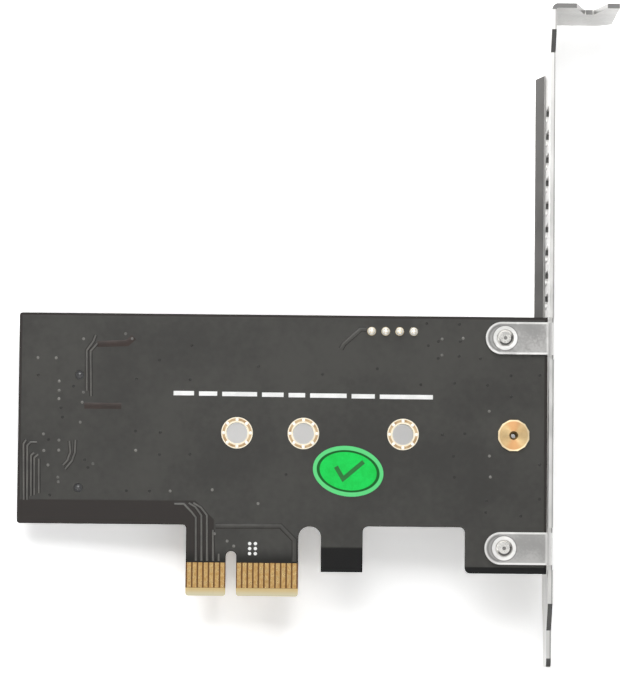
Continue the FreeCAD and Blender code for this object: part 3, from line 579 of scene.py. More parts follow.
@dataclass(frozen=True)
class BoardFinish:
    """Dark solder mask over copper, bare laminate round the fingers, and a cream bevel."""

    name: str = "solder mask"
    over_copper: Colour = (0.056, 0.055, 0.050)
    over_copper_low: Colour = (0.040, 0.039, 0.036)
    over_laminate: Colour = (0.026, 0.022, 0.020)
    # Painted shade on the latch tab's end and the foot's end.
    tab_shade: Colour = (0.001, 0.001, 0.001)
    finger_shade: Colour = (0.004, 0.004, 0.003)
    shade_top: float = 9.0 * MM
    shade_share: float = 0.9
    cut_edge: Colour = (0.008, 0.007, 0.006)
    bare: Colour = (0.145, 0.066, 0.020)
    bevel_top: Colour = (0.640, 0.480, 0.220)
    bevel_low: Colour = (0.660, 0.610, 0.440)
    mask_end: float = 6.0 * MM
    blade_end: float = 14.0 * MM
    bevel_height: float = 1.45 * MM
    pour_inset: float = 0.5 * MM
    pour_low: float = 17.1 * MM
    pour_slant: float = -6.5 * MM
    pour_low_right: float = -3.1 * MM
    tab_sides: Point = (16.2 * MM, 41.0 * MM)
    tab_pour: Point = (9.2 * MM, 8.7 * MM)
    foot_pour: Point = (5.8 * MM, 5.5 * MM)
    soft: float = 0.06 * MM
    level: Point = (0.5, 0.8)
    patches: float = 60.0
    peel: float = 2600.0
    peel_share: float = 0.25
    relief: float = 0.03 * MM
    relief_strength: float = 0.6
    gloss: float = 0.25
    roughness: Point = (0.42, 0.65)

    def below(self, graph: Graph, value: Feed, limit: float, soft: float) -> bpy.types.NodeSocket:
        """1 where a value is under its limit, with a soft end."""
        return graph.ramp(value, limit + soft, limit - soft)

    def pour(self, graph: Graph, across: Feed, up: Feed) -> bpy.types.NodeSocket:
        """Find the copper under the mask: inside the rim, and not in the bare corner.

        The bare corner lies to the left of pour_low_right and under a line that is level up
        to pour_slant and falls by 45 degrees beyond it.

        Args:
            graph: the material's nodes.
            across: X of the surface.
            up: Z of the surface.

        Returns:
            1 over copper and 0 over laminate.
        """
        inset, soft = self.pour_inset, 3 * self.soft
        rim = graph.window(across, BOARD_LOW.x + inset, BOARD_HIGH.x - inset, self.soft)
        crown = self.below(graph, up, BOARD_HIGH.z - inset, self.soft)
        leftward = self.below(graph, across, self.pour_low_right, soft)
        beyond = graph.math("MAXIMUM", graph.minus(across, self.pour_slant), 0.0)
        lower = self.below(graph, graph.math("ADD", up, beyond), self.pour_low, soft)
        return graph.times(rim, crown, graph.minus(1.0, graph.times(leftward, lower)))

    def bare_feet(self, graph: Graph, across: Feed, up: Feed) -> bpy.types.NodeSocket:
        """Find the latch tab's end and the foot's end, which have no copper at all and get painted shade.

        Args:
            graph: the material's nodes.
            across: X of the surface.
            up: Z of the surface.

        Returns:
            1 on them and 0 elsewhere.
        """
        left, right = self.tab_sides
        tab = graph.times(graph.window(across, left, right, self.soft), graph.ramp(up, *self.tab_pour))
        beyond = graph.ramp(across, right - self.soft, right + self.soft)
        return graph.math("ADD", tab, graph.times(beyond, graph.ramp(up, *self.foot_pour)))

    def build(self) -> bpy.types.Material:
        """Make the material.

        Returns:
            The new material.
        """
        material, graph, shader = new_material(self.name)
        across, _, up = graph.axes(graph.place())
        flat = graph.ramp(graph.math("ABSOLUTE", graph.normal()[1]), *self.level)
        pour = self.pour(graph, across, up)
        copper = use_mottle(graph, self.over_copper, self.over_copper_low, self.patches)
        mask = graph.blend(pour, self.over_laminate, copper["Color"])
        blade = self.below(graph, across, self.blade_end, self.soft)
        near = graph.times(blade, graph.ramp(up, self.shade_top, self.mask_end, 0.0, self.shade_share))
        mask = graph.blend(near, mask, self.finger_shade)
        # Painted shade, darker than the laminate elsewhere, on the tab's and the foot's ends, which have
        # no copper under the mask.
        mask = graph.blend(self.bare_feet(graph, across, up), mask, self.tab_shade)
        masked = graph.blend(flat, self.cut_edge, mask)
        bare = graph.times(self.below(graph, up, self.mask_end, self.soft), blade)
        bevel = graph.times(bare, graph.math("LESS_THAN", up, self.bevel_height))
        cream = graph.blend(graph.ramp(up, 0.0, self.bevel_height), self.bevel_low, self.bevel_top)
        colour = graph.blend(bevel, graph.blend(bare, masked, self.bare), cream)
        height = graph.math("MULTIPLY_ADD", use_grain(graph, *[self.peel] * 3), self.peel_share, pour)
        shader.inputs["Specular IOR Level"].default_value = self.gloss
        normal = graph.bump(height, self.relief, self.relief_strength)
        dress(shader, graph, colour, graph.ramp(bare, 0.0, 1.0, *self.roughness), normal)
        return material


@dataclass(frozen=True)
class SeatRingFinish:
    """Gold plate on a ring, pale gold at its two rims and a mottled darker brown in a band between them.

    The brown band's radii and its soft edge are in millimetres.
    """

    name: str = "seat ring gold"
    bright: Colour = (0.930, 0.850, 0.680)
    band_brown: Colour = (0.360, 0.235, 0.115)
    band_brown_light: Colour = (0.560, 0.420, 0.250)
    inner: float = 2.2
    outer: float = 2.66
    soft: float = 0.1
    patches: float = 900.0
    depth: float = 0.01 * MM
    roughness: Point = (0.35, 0.5)

    def build(self) -> bpy.types.Material:
        """Make the material.

        Returns:
            The new material.
        """
        material, graph, shader = new_material(self.name)
        radius = use_group(graph, SEAT_RADIUS, {})["Radius"]
        band = graph.window(radius, self.inner, self.outer, self.soft)
        tones = use_mottle(graph, self.band_brown, self.band_brown_light, self.patches)
        shader.inputs["Metallic"].default_value = 1.0
        colour = graph.blend(band, self.bright, tones["Color"])
        rough = graph.ramp(band, 0.0, 1.0, *self.roughness)
        dress(shader, graph, colour, rough, graph.bump(use_grain(graph), self.depth))
        return material


@dataclass(frozen=True)
class TurnedBrass:
    """Brass with faint turning rings, a painted reflection in redder sectors above and below, and a
    painted highlight on its rim.

    The rings are so many to the millimetre, and the rim's radii are in millimetres.
    """

    name: str = "turned brass"
    light: Colour = (0.710, 0.520, 0.270)
    dark: Colour = (0.590, 0.405, 0.200)
    # Painted light: a redder reflection above and below, and a highlight on the rim.
    painted_reflection: Colour = (0.590, 0.330, 0.150)
    rim: Colour = (0.820, 0.670, 0.430)
    patches: float = 500.0
    rings: float = 7.0
    ring_depth: float = 0.004 * MM
    reflection_sector: Point = (0.55, 0.95)
    highlight_from: Point = (2.5, 2.62)
    roughness: Point = (0.42, 0.3)

    def build(self) -> bpy.types.Material:
        """Make the material.

        The painted reflection lies in the redder sectors, where the step upwards from the axis, squared,
        is most of the squared radius, which is the squared sine of the angle round the axis. A hundredth
        of a square millimetre keeps the division safe on the axis itself.

        Returns:
            The new material.
        """
        material, graph, shader = new_material(self.name)
        radius = use_group(graph, SEAT_RADIUS, {})["Radius"]
        wave = graph.math("SINE", graph.times(radius, self.rings * math.tau))
        up = graph.axes(graph.place())[2]
        above = graph.math("POWER", graph.times(graph.minus(up, STANDOFF.z), 1 / MM), 2.0)
        square = graph.math("MULTIPLY_ADD", radius, radius, 0.01)
        reflection_sector = graph.math("DIVIDE", above, square)
        tones = use_mottle(graph, self.light, self.dark, self.patches)
        # Painted reflection in the redder sectors, then a painted highlight on the rim.
        colour = graph.blend(graph.ramp(reflection_sector, *self.reflection_sector), tones["Color"], self.painted_reflection)
        colour = graph.blend(graph.ramp(radius, *self.highlight_from), colour, self.rim)
        rough = graph.ramp(tones["Mask"], 0.0, 1.0, *self.roughness)
        shader.inputs["Metallic"].default_value = 1.0
        dress(shader, graph, colour, rough, graph.bump(wave, self.ring_depth))
        return material


@dataclass(frozen=True)
class LabelFinish:
    """Green film with a paler rim and a dark printed oval."""

    name: str = "green label film"
    green: Colour = (0.006, 0.640, 0.090)
    green_low: Colour = (0.003, 0.540, 0.065)
    rim: Colour = (0.110, 0.640, 0.210)
    ink: Colour = (0.000, 0.100, 0.012)
    turn: float = math.radians(-8)
    ring_across: float = 5.45 * MM
    ring_up: float = 3.6 * MM
    ring_line: float = 0.05
    ring_soft: float = 0.012
    rim_soft: float = 0.03
    patches: float = 500.0
    speckle: float = 0.8
    depth: float = 0.004 * MM
    gloss: float = 0.25
    roughness: Point = (0.5, 0.36)

    def build(self) -> bpy.types.Material:
        """Make the material.

        The printed oval is where (u / a)^2 + (v / b)^2 is 1, with u and v measured along the
        label's own axes from its centre.

        Returns:
            The new material.
        """
        low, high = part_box("inspection_label")
        centre = (low + high) / 2
        material, graph, shader = new_material(self.name)
        across, _, up = graph.axes(graph.place())
        sideways, upwards = graph.minus(across, centre.x), graph.minus(up, centre.z)
        cosine, sine = math.cos(self.turn), math.sin(self.turn)
        along = graph.math("MULTIPLY_ADD", sideways, cosine, graph.times(upwards, sine))
        beside = graph.math("MULTIPLY_ADD", upwards, cosine, graph.times(sideways, -sine))
        first = graph.math("DIVIDE", along, self.ring_across)
        reach = graph.length(first, graph.math("DIVIDE", beside, self.ring_up))
        line = graph.window(reach, 1.0 - self.ring_line, 1.0 + self.ring_line, self.ring_soft)
        film = use_mottle(graph, self.green, self.green_low, self.patches, self.speckle)
        outside = graph.ramp(reach, 1.0, 1.0 + self.rim_soft)
        colour = graph.blend(line, graph.blend(outside, film["Color"], self.rim), self.ink)
        rough = graph.ramp(film["Mask"], 0.0, 1.0, *self.roughness)
        shader.inputs["Specular IOR Level"].default_value = self.gloss
        dress(shader, graph, colour, rough, graph.bump(use_grain(graph), self.depth))
        return material


@dataclass(frozen=True)
class BracketFinish:
    """Plated sheet with rolled grain; its colour carries painted shade on the cut edges, ears, flange,
    outward faces and beside the board, and painted highlights on the ears.
    """

    name: str = "plated sheet steel"
    light: Colour = (0.860, 0.852, 0.838)
    dark: Colour = (0.780, 0.772, 0.758)
    # Painted shade on the faces that look outwards or up.
    outside: Colour = (0.480, 0.474, 0.464)
    # Painted shade on the ears' front faces, in two tones.
    ear_shade: Colour = (0.445, 0.440, 0.430)
    ear_shade_low: float = 0.86
    # Painted shade on the folded flange's front face, beside the ears' rims and collars, and on the inner
    # face by the board.
    painted_shade: Colour = (0.140, 0.137, 0.133)
    # Painted shade on the front cut edges: lighter inside, darker outside, darker still on the shelf and
    # where they slant.
    edge_shade_inner: Colour = (0.640, 0.635, 0.620)
    edge_shade_outer: Colour = (0.360, 0.357, 0.350)
    shade: Colour = (0.095, 0.094, 0.092)
    shelf_edge_shade: Colour = (0.170, 0.168, 0.164)
    # Painted highlight on the ears' rims and collars.
    painted_highlight: Colour = (0.900, 0.890, 0.870)
    flange_reach: Point = (1.3 * MM, 1.17 * MM)
    plate: Point = (56.5 * MM, 57.0 * MM)
    edge_shade_outer_from: Point = (57.7 * MM, 57.8 * MM)
    shelf: Point = (106.6 * MM, 106.7 * MM)
    ear_nose: float = 0.6 * MM
    ear_half: float = 3.6 * MM
    ear_soft: float = 0.08 * MM
    ear_end_soft: float = 0.1 * MM
    # Radii of the painted shade by the nose, the painted highlights on the rim and collar, and the painted
    # shade in the collar's groove.
    nose_shade_line: Point = (2.175 * MM, 2.425 * MM)
    rim_highlight_line: Point = (2.575 * MM, 3.125 * MM)
    collar_highlight: Point = (1.5 * MM, 2.18 * MM)
    collar_groove_shade: Point = (2.18 * MM, 2.34 * MM)
    nose_shade_share: float = 0.5
    rim_highlight_share: float = 0.8
    groove_shade_share: float = 0.6
    # Where the inner face beside the board's solder side gets painted shade.
    shut_low: float = 4.0 * MM
    shut_reach: float = 0.5 * MM
    shut_soft: float = 0.3 * MM
    contact_shade_share: float = 0.8
    square_on: Point = (-0.9, -0.97)
    slant_forward: Point = (-0.3, -0.4)
    slant_down: Point = (-0.15, -0.25)
    turned_in: Point = (-0.7, -0.95)
    turned_out: Point = (0.8, 0.95)
    patches: float = 180.0
    speckle: float = 0.6
    grain: tuple[float, float, float] = (5000.0, 5000.0, 700.0)
    depth: float = 0.002 * MM
    roughness: Point = (0.42, 0.3)

    def edges(self, graph: Graph, surface: Feed, across: Feed, up: Feed) -> bpy.types.NodeSocket:
        """Paint shade on the cut edges that face the front: lighter inside, darker outside and on the
        shelf, darkest where they slant.

        Args:
            graph: the material's nodes.
            surface: the colour without them.
            across: X of the surface.
            up: Z of the surface.

        Returns:
            The colour with them.
        """
        _, facing, rising = graph.normal()
        # Painted shade on the front cut edges, lighter inside and darker outside, with darker shade on the
        # shelf.
        edge = graph.blend(graph.ramp(across, *self.edge_shade_outer_from), self.edge_shade_inner, self.edge_shade_outer)
        edge = graph.blend(graph.ramp(up, *self.shelf), edge, self.shelf_edge_shade)
        colour = graph.blend(graph.ramp(facing, *self.square_on), surface, edge)
        slanted = graph.ramp(facing, *self.slant_forward), graph.ramp(rising, *self.slant_down)
        return graph.blend(graph.times(*slanted), colour, self.shade)

    def ear(self, graph: Graph, surface: Feed, across: Feed, rise: Feed) -> bpy.types.NodeSocket:
        """Paint light on one ear: a painted highlight on its rim and collar, each with a line of painted
        shade beside it.

        Args:
            graph: the material's nodes.
            surface: the colour without them.
            across: X of the surface.
            rise: Z of the surface less the Z of the ear's screw.

        Returns:
            The colour with them.
        """
        soft = self.ear_soft
        nose = graph.math("MINIMUM", graph.minus(across, EAR_AXIS.x - self.ear_nose), 0.0)
        rim = graph.length(nose, rise)
        radius = graph.length(graph.minus(across, EAR_AXIS.x), rise)
        dim = graph.times(graph.window(rim, *self.nose_shade_line, soft), graph.ramp(nose, 0.0, -self.ear_nose))
        colour = graph.blend(graph.times(dim, self.nose_shade_share), surface, self.painted_shade)
        # Painted highlight on the rim.
        lit = graph.window(rim, *self.rim_highlight_line, soft)
        colour = graph.blend(graph.times(lit, self.rim_highlight_share), colour, self.painted_highlight)
        # Painted shade in the collar's groove, then a painted highlight on the collar.
        groove_shade = graph.window(radius, *self.collar_groove_shade, soft)
        colour = graph.blend(graph.times(groove_shade, self.groove_shade_share), colour, self.painted_shade)
        return graph.blend(graph.window(radius, *self.collar_highlight, soft), colour, self.painted_highlight)

    def build(self) -> bpy.types.Material:
        """Make the material.

        Returns:
            The new material.
        """
        far_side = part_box("slot_bracket")[1].y
        material, graph, shader = new_material(self.name)
        across, depth, up = graph.axes(graph.place())
        leaning, facing, rising = graph.normal()
        tones = use_mottle(graph, self.light, self.dark, self.patches, self.speckle)
        front = graph.ramp(facing, *self.turned_in)
        far = graph.ramp(depth, *[far_side - reach for reach in self.flange_reach])
        beside = graph.ramp(across, self.plate[1], self.plate[0])
        # Painted shade on the ears' front faces, in two tones that follow the mottle.
        darker_ear_shade = tuple(self.ear_shade_low * part for part in self.ear_shade)
        ear_shade = graph.blend(graph.ramp(tones["Mask"], 0.0, 1.0), self.ear_shade, darker_ear_shade)
        colour = tones["Color"]
        for height in (EAR_AXIS.z, EAR_AXIS.z - EAR_STEP):
            rise = graph.minus(up, height)
            level = graph.window(rise, -self.ear_half, self.ear_half, self.ear_end_soft)
            marked = self.ear(graph, ear_shade, across, rise)
            colour = graph.blend(graph.times(front, beside, level), colour, marked)
        colour = graph.blend(beside, self.edges(graph, colour, across, up), colour)
        # Painted shade on the inner face beside the board's solder side.
        behind = graph.ramp(depth, BOARD_LOW.y + self.shut_reach, BOARD_LOW.y)
        level = graph.window(up, self.shut_low, BOARD_HIGH.z, self.shut_soft)
        contact_shade = graph.times(graph.ramp(leaning, *self.turned_in), behind, level, self.contact_shade_share)
        colour = graph.blend(contact_shade, colour, self.painted_shade)
        # Painted shade on the faces that look outwards or up.
        outward = graph.math("MAXIMUM", leaning, rising)
        colour = graph.blend(graph.ramp(outward, *self.turned_out), colour, self.outside)
        # Painted shade on the folded flange's front face.
        colour = graph.blend(graph.times(front, far), colour, self.painted_shade)
        rough = graph.ramp(tones["Mask"], 0.0, 1.0, *self.roughness)
        shader.inputs["Metallic"].default_value = 1.0
        dress(shader, graph, colour, rough, graph.bump(use_grain(graph, *self.grain), self.depth))
        return material


@dataclass(frozen=True)
class ScrewFinish:
    """Nickel plate, with painted shade in a ring and a dimple on the screws' chamfered ends, and in their
    heads' recess.
    """

    name: str = "nickel plated screws"
    light: Colour = (0.900, 0.885, 0.850)
    dark: Colour = (0.700, 0.685, 0.650)
    # Painted shade in a ring and a dimple on the ends, and in the heads' recess.
    groove_shade: Colour = (0.100, 0.098, 0.095)
    end: Point = (-1.5 * MM, -1.6 * MM)
    band: Point = (1.0 * MM, 1.36 * MM)
    band_soft: float = 0.06 * MM
    dimple_shade: Point = (0.42 * MM, 0.252 * MM)
    recess: Point = (1.45 * MM, 2.1 * MM)
    recess_soft: float = 0.15 * MM
    recess_radius: Point = (1.62 * MM, 1.5 * MM)
    groove_side: Point = (0.5 * MM, -0.5 * MM)
    groove_slant: float = 0.5
    spot_share: float = 0.8
    patches: float = 600.0
    grain: tuple[float, float, float] = (2500.0, 4000.0, 2500.0)
    depth: float = 0.008 * MM
    roughness: Point = (0.36, 0.22)

    def build(self) -> bpy.types.Material:
        """Make the material.

        The painted shade of the ring lies towards the lower right, where the height over the screw's axis
        less half the step to the right falls below zero. The two screws share one pattern:
        the distance from the height midway between them gives the height over either axis.

        Returns:
            The new material.
        """
        material, graph, shader = new_material(self.name)
        across, depth, up = graph.axes(graph.place())
        tones = use_mottle(graph, self.light, self.dark, self.patches)
        above = graph.minus(up, EAR_AXIS.z - EAR_STEP / 2)
        rise = graph.minus(graph.math("ABSOLUTE", above), EAR_STEP / 2)
        sideways = graph.minus(across, EAR_AXIS.x)
        radius = graph.length(sideways, rise)
        upper = graph.times(graph.math("SIGN", above), rise)
        slant = graph.minus(upper, graph.times(sideways, self.groove_slant))
        lower = graph.ramp(slant, *self.groove_side)
        # Painted shade: a ring on the lower right and a dimple in the middle of each end.
        ring = graph.times(graph.window(radius, *self.band, self.band_soft), lower)
        spot = graph.times(graph.ramp(radius, *self.dimple_shade), self.spot_share)
        mark = graph.times(graph.math("MAXIMUM", ring, spot), graph.ramp(depth, *self.end))
        # Painted shade in the recess of each head.
        within = graph.ramp(radius, *self.recess_radius)
        recess_shade = graph.times(graph.window(depth, *self.recess, self.recess_soft), within)
        colour = graph.blend(graph.math("MAXIMUM", mark, recess_shade), tones["Color"], self.groove_shade)
        rough = graph.ramp(tones["Mask"], 0.0, 1.0, *self.roughness)
        shader.inputs["Metallic"].default_value = 1.0
        dress(shader, graph, colour, rough, graph.bump(use_grain(graph, *self.grain), self.depth))
        return material


GOLD = Metal(
    "contact gold", (0.656, 0.459, 0.205), (0.459, 0.271, 0.098), 0.34, 0.08,
    (9000.0, 4000.0, 500.0), 0.006 * MM, 1400.0,
)
PAD_GOLD = Metal(
    "via gold", (0.950, 0.860, 0.640), (0.800, 0.640, 0.400), 0.3, 0.06,
    (5000.0, 5000.0, 5000.0), 0.005 * MM,
)
HEADER_GOLD = Metal(
    "header pin gold", (0.900, 0.700, 0.340), (0.780, 0.560, 0.230), 0.26, 0.06,
    (3000.0, 300.0, 3000.0), 0.004 * MM,
)
SOLDER = Metal(
    "bright solder", (0.860, 0.840, 0.780), (0.640, 0.600, 0.500), 0.3, 0.1,
    (2200.0, 2200.0, 2200.0), 0.02 * MM, 900.0,
)
BRIGHT_SOLDER = Metal(
    "frosted solder", (0.960, 0.950, 0.900), (0.860, 0.840, 0.760), 0.4, 0.08,
    (2200.0, 2200.0, 2200.0), 0.006 * MM, 900.0, 0.25,
)
# Brass darkened as painted shade, for the thread deep in the standoff's bore.
SHADED_THREAD_BRASS = Metal(
    "brass thread in painted shade", (0.160, 0.105, 0.045), (0.080, 0.050, 0.022), 0.4, 0.08,
    (2000.0, 2000.0, 2000.0), 0.004 * MM,
)
LEAD_TIN = Metal(
    "tinned leads", (0.820, 0.790, 0.700), (0.660, 0.620, 0.520), 0.3, 0.07,
    (3000.0, 3000.0, 3000.0), 0.006 * MM, 700.0,
)
NYLON = Moulding("black nylon", (0.026, 0.026, 0.027), (0.017, 0.017, 0.018), 0.5)
PEG_NYLON = Moulding("glossy black nylon", (0.045, 0.045, 0.046), (0.030, 0.030, 0.031), 0.22, coat=0.3)
RESIN = Moulding("ochre resin", (0.640, 0.400, 0.095), (0.560, 0.330, 0.070), 0.42)
RESIN_BAND = Moulding("dark band ink", (0.110, 0.060, 0.020), (0.080, 0.045, 0.015), 0.5)
CERAMIC = Moulding("capacitor ceramic", (0.400, 0.290, 0.190), (0.310, 0.220, 0.140), 0.5)
CHIP_BLACK = Moulding("resistor glaze", (0.022, 0.022, 0.024), (0.014, 0.014, 0.015), 0.3, coat=0.4)
LAMP = Moulding("lamp resin", (0.820, 0.860, 0.700), (0.700, 0.760, 0.560), 0.18, coat=0.6)
WHITE_INK = Moulding("white ink", (0.880, 0.880, 0.870), (0.760, 0.760, 0.750), 0.5, depth=0.006 * MM)
TICK_INK = Moulding("dark green ink", (0.004, 0.150, 0.020), (0.002, 0.120, 0.014), 0.45)


def mask_over(
    what: str, light: Colour, dark: Colour, roughness: float, gloss: float, depth: float = 0.006 * MM
) -> Moulding:
    """Solder mask as it looks over one thing, such as traces or vias."""
    return Moulding("mask over " + what, light, dark, roughness, depth=depth, gloss=gloss)


# Mask over traces: lighter for the copper under it, and lighter still as painted highlight on the raised
# lines.
TRACE_MASK = mask_over("traces", (0.125, 0.122, 0.112), (0.085, 0.083, 0.077), 0.32, 0.35)
BROAD_MASK = mask_over("broad traces", (0.066, 0.064, 0.058), (0.050, 0.049, 0.045), 0.4, 0.25)
BARE_MASK = mask_over("bare laminate", (0.042, 0.029, 0.025), (0.034, 0.026, 0.023), 0.42, 0.25)
GAP_MASK = mask_over("gaps", (0.024, 0.021, 0.019), (0.018, 0.016, 0.015), 0.42, 0.25)
# Painted highlight: the mask over filled vias is lighter than over copper.
VIA_HIGHLIGHT_MASK = mask_over(
    "filled vias", (0.180, 0.175, 0.160), (0.080, 0.078, 0.072), 0.34, 0.4, 0.004 * MM
)
# Painted shade: the mask in open vias' craters is darker than over copper.
VIA_SHADE_MASK = mask_over(
    "open vias", (0.030, 0.029, 0.026), (0.018, 0.017, 0.016), 0.3, 0.3, 0.004 * MM
)

FINISHES = {
    "circuit_board": BoardFinish(),
    "solder_side_fingers": GOLD,
    "component_side_fingers": GOLD,
    "solder_side_pads": SeatRingFinish(),
    "component_side_pads": SeatRingFinish(),
    "m2_socket_housing": NYLON,
    "m2_rear_leads": LEAD_TIN,
    "m2_front_leads": LEAD_TIN,
    "m2_solder_tabs": LEAD_TIN,
    "module_standoff": TurnedBrass(),
    "header_pins": HEADER_GOLD,
    "header_body": NYLON,
    "header_solder_joints": SOLDER,
    "slot_bracket": BracketFinish(),
    "bracket_screws": ScrewFinish(),
    "bulk_capacitors": RESIN,
    "bulk_capacitor_terminals": SOLDER,
    "ceramic_capacitors": CERAMIC,
    "ceramic_capacitor_caps": SOLDER,
    "resistors": CHIP_BLACK,
    "resistor_caps": SOLDER,
    "activity_lamps": LAMP,
    "activity_lamp_caps": SOLDER,
    "inspection_label": LabelFinish(),
}


class Finish(Protocol):
    """What every finish has."""

    name: str

    def build(self) -> bpy.types.Material:
        """Make the material."""


class Palette:
    """Every finish's material, made once."""

    def __init__(self) -> None:
        """Start with no materials."""
        self.made: dict[str, bpy.types.Material] = {}

    def get(self, finish: Finish) -> bpy.types.Material:
        """Find the material of a finish, or make it.

        Args:
            finish: the finish.

        Returns:
            Its material.
        """
        if finish.name not in self.made:
            self.made[finish.name] = finish.build()
        return self.made[finish.name]

    def dress_frame(self) -> None:
        """Give every solid of the frame its finish."""
        for name, finish in FINISHES.items():
            node = frame["nodes"][name]
            node.data.materials.clear()
            node.data.materials.append(self.get(finish))
            LOG.info("%s: %s", name, finish.name)


@dataclass
class SubAssembly:
    """Pieces that belong together, with the palette that dresses them."""

    palette: Palette

    def add(self, name: str, parts: Parts, finish: Finish, slot: str) -> bpy.types.Object:
        """Make one piece from vertices and faces and a finish; its slot in the record is handed on."""
        return make_piece(name, *parts, self.palette.get(finish), slot)


# --- pieces on the board -------------------------------------------------------------------


@dataclass
class Traces(SubAssembly):
    """Raised copper lines under the mask, each in a darker gap with no copper.

    The spacing and the cut corners are in millimetres, as the lines' own points are.
    """

    width: float = 0.2 * MM
    wide: float = 0.5 * MM
    bare: float = 1.1 * MM
    rise: float = 0.045 * MM
    slope: float = 0.07 * MM
    margin: float = 0.22 * MM
    gap_rise: float = 0.006 * MM
    spacing: float = 0.5
    corner: float = 0.8

    def lay(self, name: str, side: Side, paths: list[list[Point]], width: float, finish: Moulding) -> None:
        """Lay traces on one face, each over its gap.

        Args:
            name: the piece's name.
            side: the face.
            paths: (x, z) corners of each trace, in millimetres.
            width: of each trace.
            finish: of the mask over them.
        """
        gap = width + 2 * self.margin
        self.lay_strips(name, side, paths, width, self.rise, finish)
        self.lay_strips(name + "_gaps", side, paths, gap, self.gap_rise, GAP_MASK)

    def lay_strips(
        self, name: str, side: Side, paths: list[list[Point]], width: float, rise: float, finish: Moulding
    ) -> None:
        """Lay one strip along each path, as one piece.

        Args:
            name: the piece's name.
            side: the face.
            paths: (x, z) corners of each strip, in millimetres.
            width: of each strip.
            rise: of each strip over the face.
            finish: of the mask over them.
        """
        slope = min(self.slope, 2 * rise)
        lines = [[(x * MM, z * MM) for x, z in path] for path in paths]
        strips = [strip_parts(line, width, rise, slope, side) for line in lines]
        self.add(name, join_parts(strips), finish, "board_laminate")

    def run(self) -> None:
        """Lay the traces of both faces."""
        solder = [
            [(-26.4, 36.8), (-26.5, 44.1), (-25.3, 45.8), (-24.9, 46.9)],
            [(-25.6, 35.8), (-25.8, 44.0), (-24.6, 45.4)],
            [(-37.5, 17.0), (-37.7, 27.1), (-37.2, 27.8)],
            [(-36.9, 17.0), (-37.0, 26.8), (-36.4, 27.4), (-35.3, 27.4)],
            [(-36.2, 17.7), (-36.3, 25.0), (-35.8, 25.5)],
            [(-35.6, 17.9), (-35.7, 24.6), (-35.0, 25.2)],
            [(-34.8, 18.2), (-34.9, 24.4)],
            [(-29.4, 27.7), (-29.2, 25.7), (-29.7, 24.2), (-30.5, 23.3)],
            [(-28.3, 27.9), (-28.4, 25.6), (-28.9, 24.1), (-30.1, 22.6)],
            [(-10.3, 16.5), (-8.6, 16.5), (-7.2, 15.1), (-6.4, 14.1), (-6.3, 6.3)],
            [(-7.7, 16.7), (-6.5, 16.0), (-5.4, 14.5), (-5.3, 6.3)],
            [(-6.9, 16.7), (-5.5, 15.9), (-4.4, 14.5), (-4.3, 6.3)],
            [(-3.3, 11.9), (-3.2, 6.3)],
            [(-2.2, 7.6), (-2.2, 6.3)],
        ]
        self.lay("solder_side_traces", Side.SOLDER, solder, self.width, TRACE_MASK)
        broad = [
            [(-2.8, 12.6), (8.9, 12.7), (11.4, 10.2), (11.45, 6.3)],
            [(24.0, 48.4), (23.0, 48.4), (20.0, 45.7), (19.5, 44.8)],
        ]
        self.lay("solder_side_broad_traces", Side.SOLDER, broad, self.wide, BROAD_MASK)
        bare = [
            [(-24.6, 45.3), (-19.2, 45.5), (-18.0, 46.6)],
            [(-26.8, 34.1), (-20.1, 34.1)],
        ]
        self.lay_strips("solder_side_bare_bands", Side.SOLDER, bare, self.bare, self.gap_rise, BARE_MASK)
        shifts = [self.spacing * index for index in range(4)]
        lower = ((-20.5, 27.2), (-12.4, 19.1), (-6.0, 12.7))
        upper = ((-14.6, 33.2), (1.9, 16.7))
        component = [
            [(-23.6, bends[0][1] + shift), *[(x + shift, z + shift) for x, z in bends]]
            + [(bends[-1][0] + shift, 6.4)]
            for bends in (lower, upper) for shift in shifts
        ]
        component += [
            [(-33.9, z), (x + self.corner, z), (x, z - self.corner), (x, end)]
            for x, z, end in ((-35.5, 30.0, 23.0), (-36.3, 34.0, 21.5), (-37.1, 37.5, 20.0))
        ]
        self.lay("component_side_traces", Side.COMPONENT, component, self.width, TRACE_MASK)


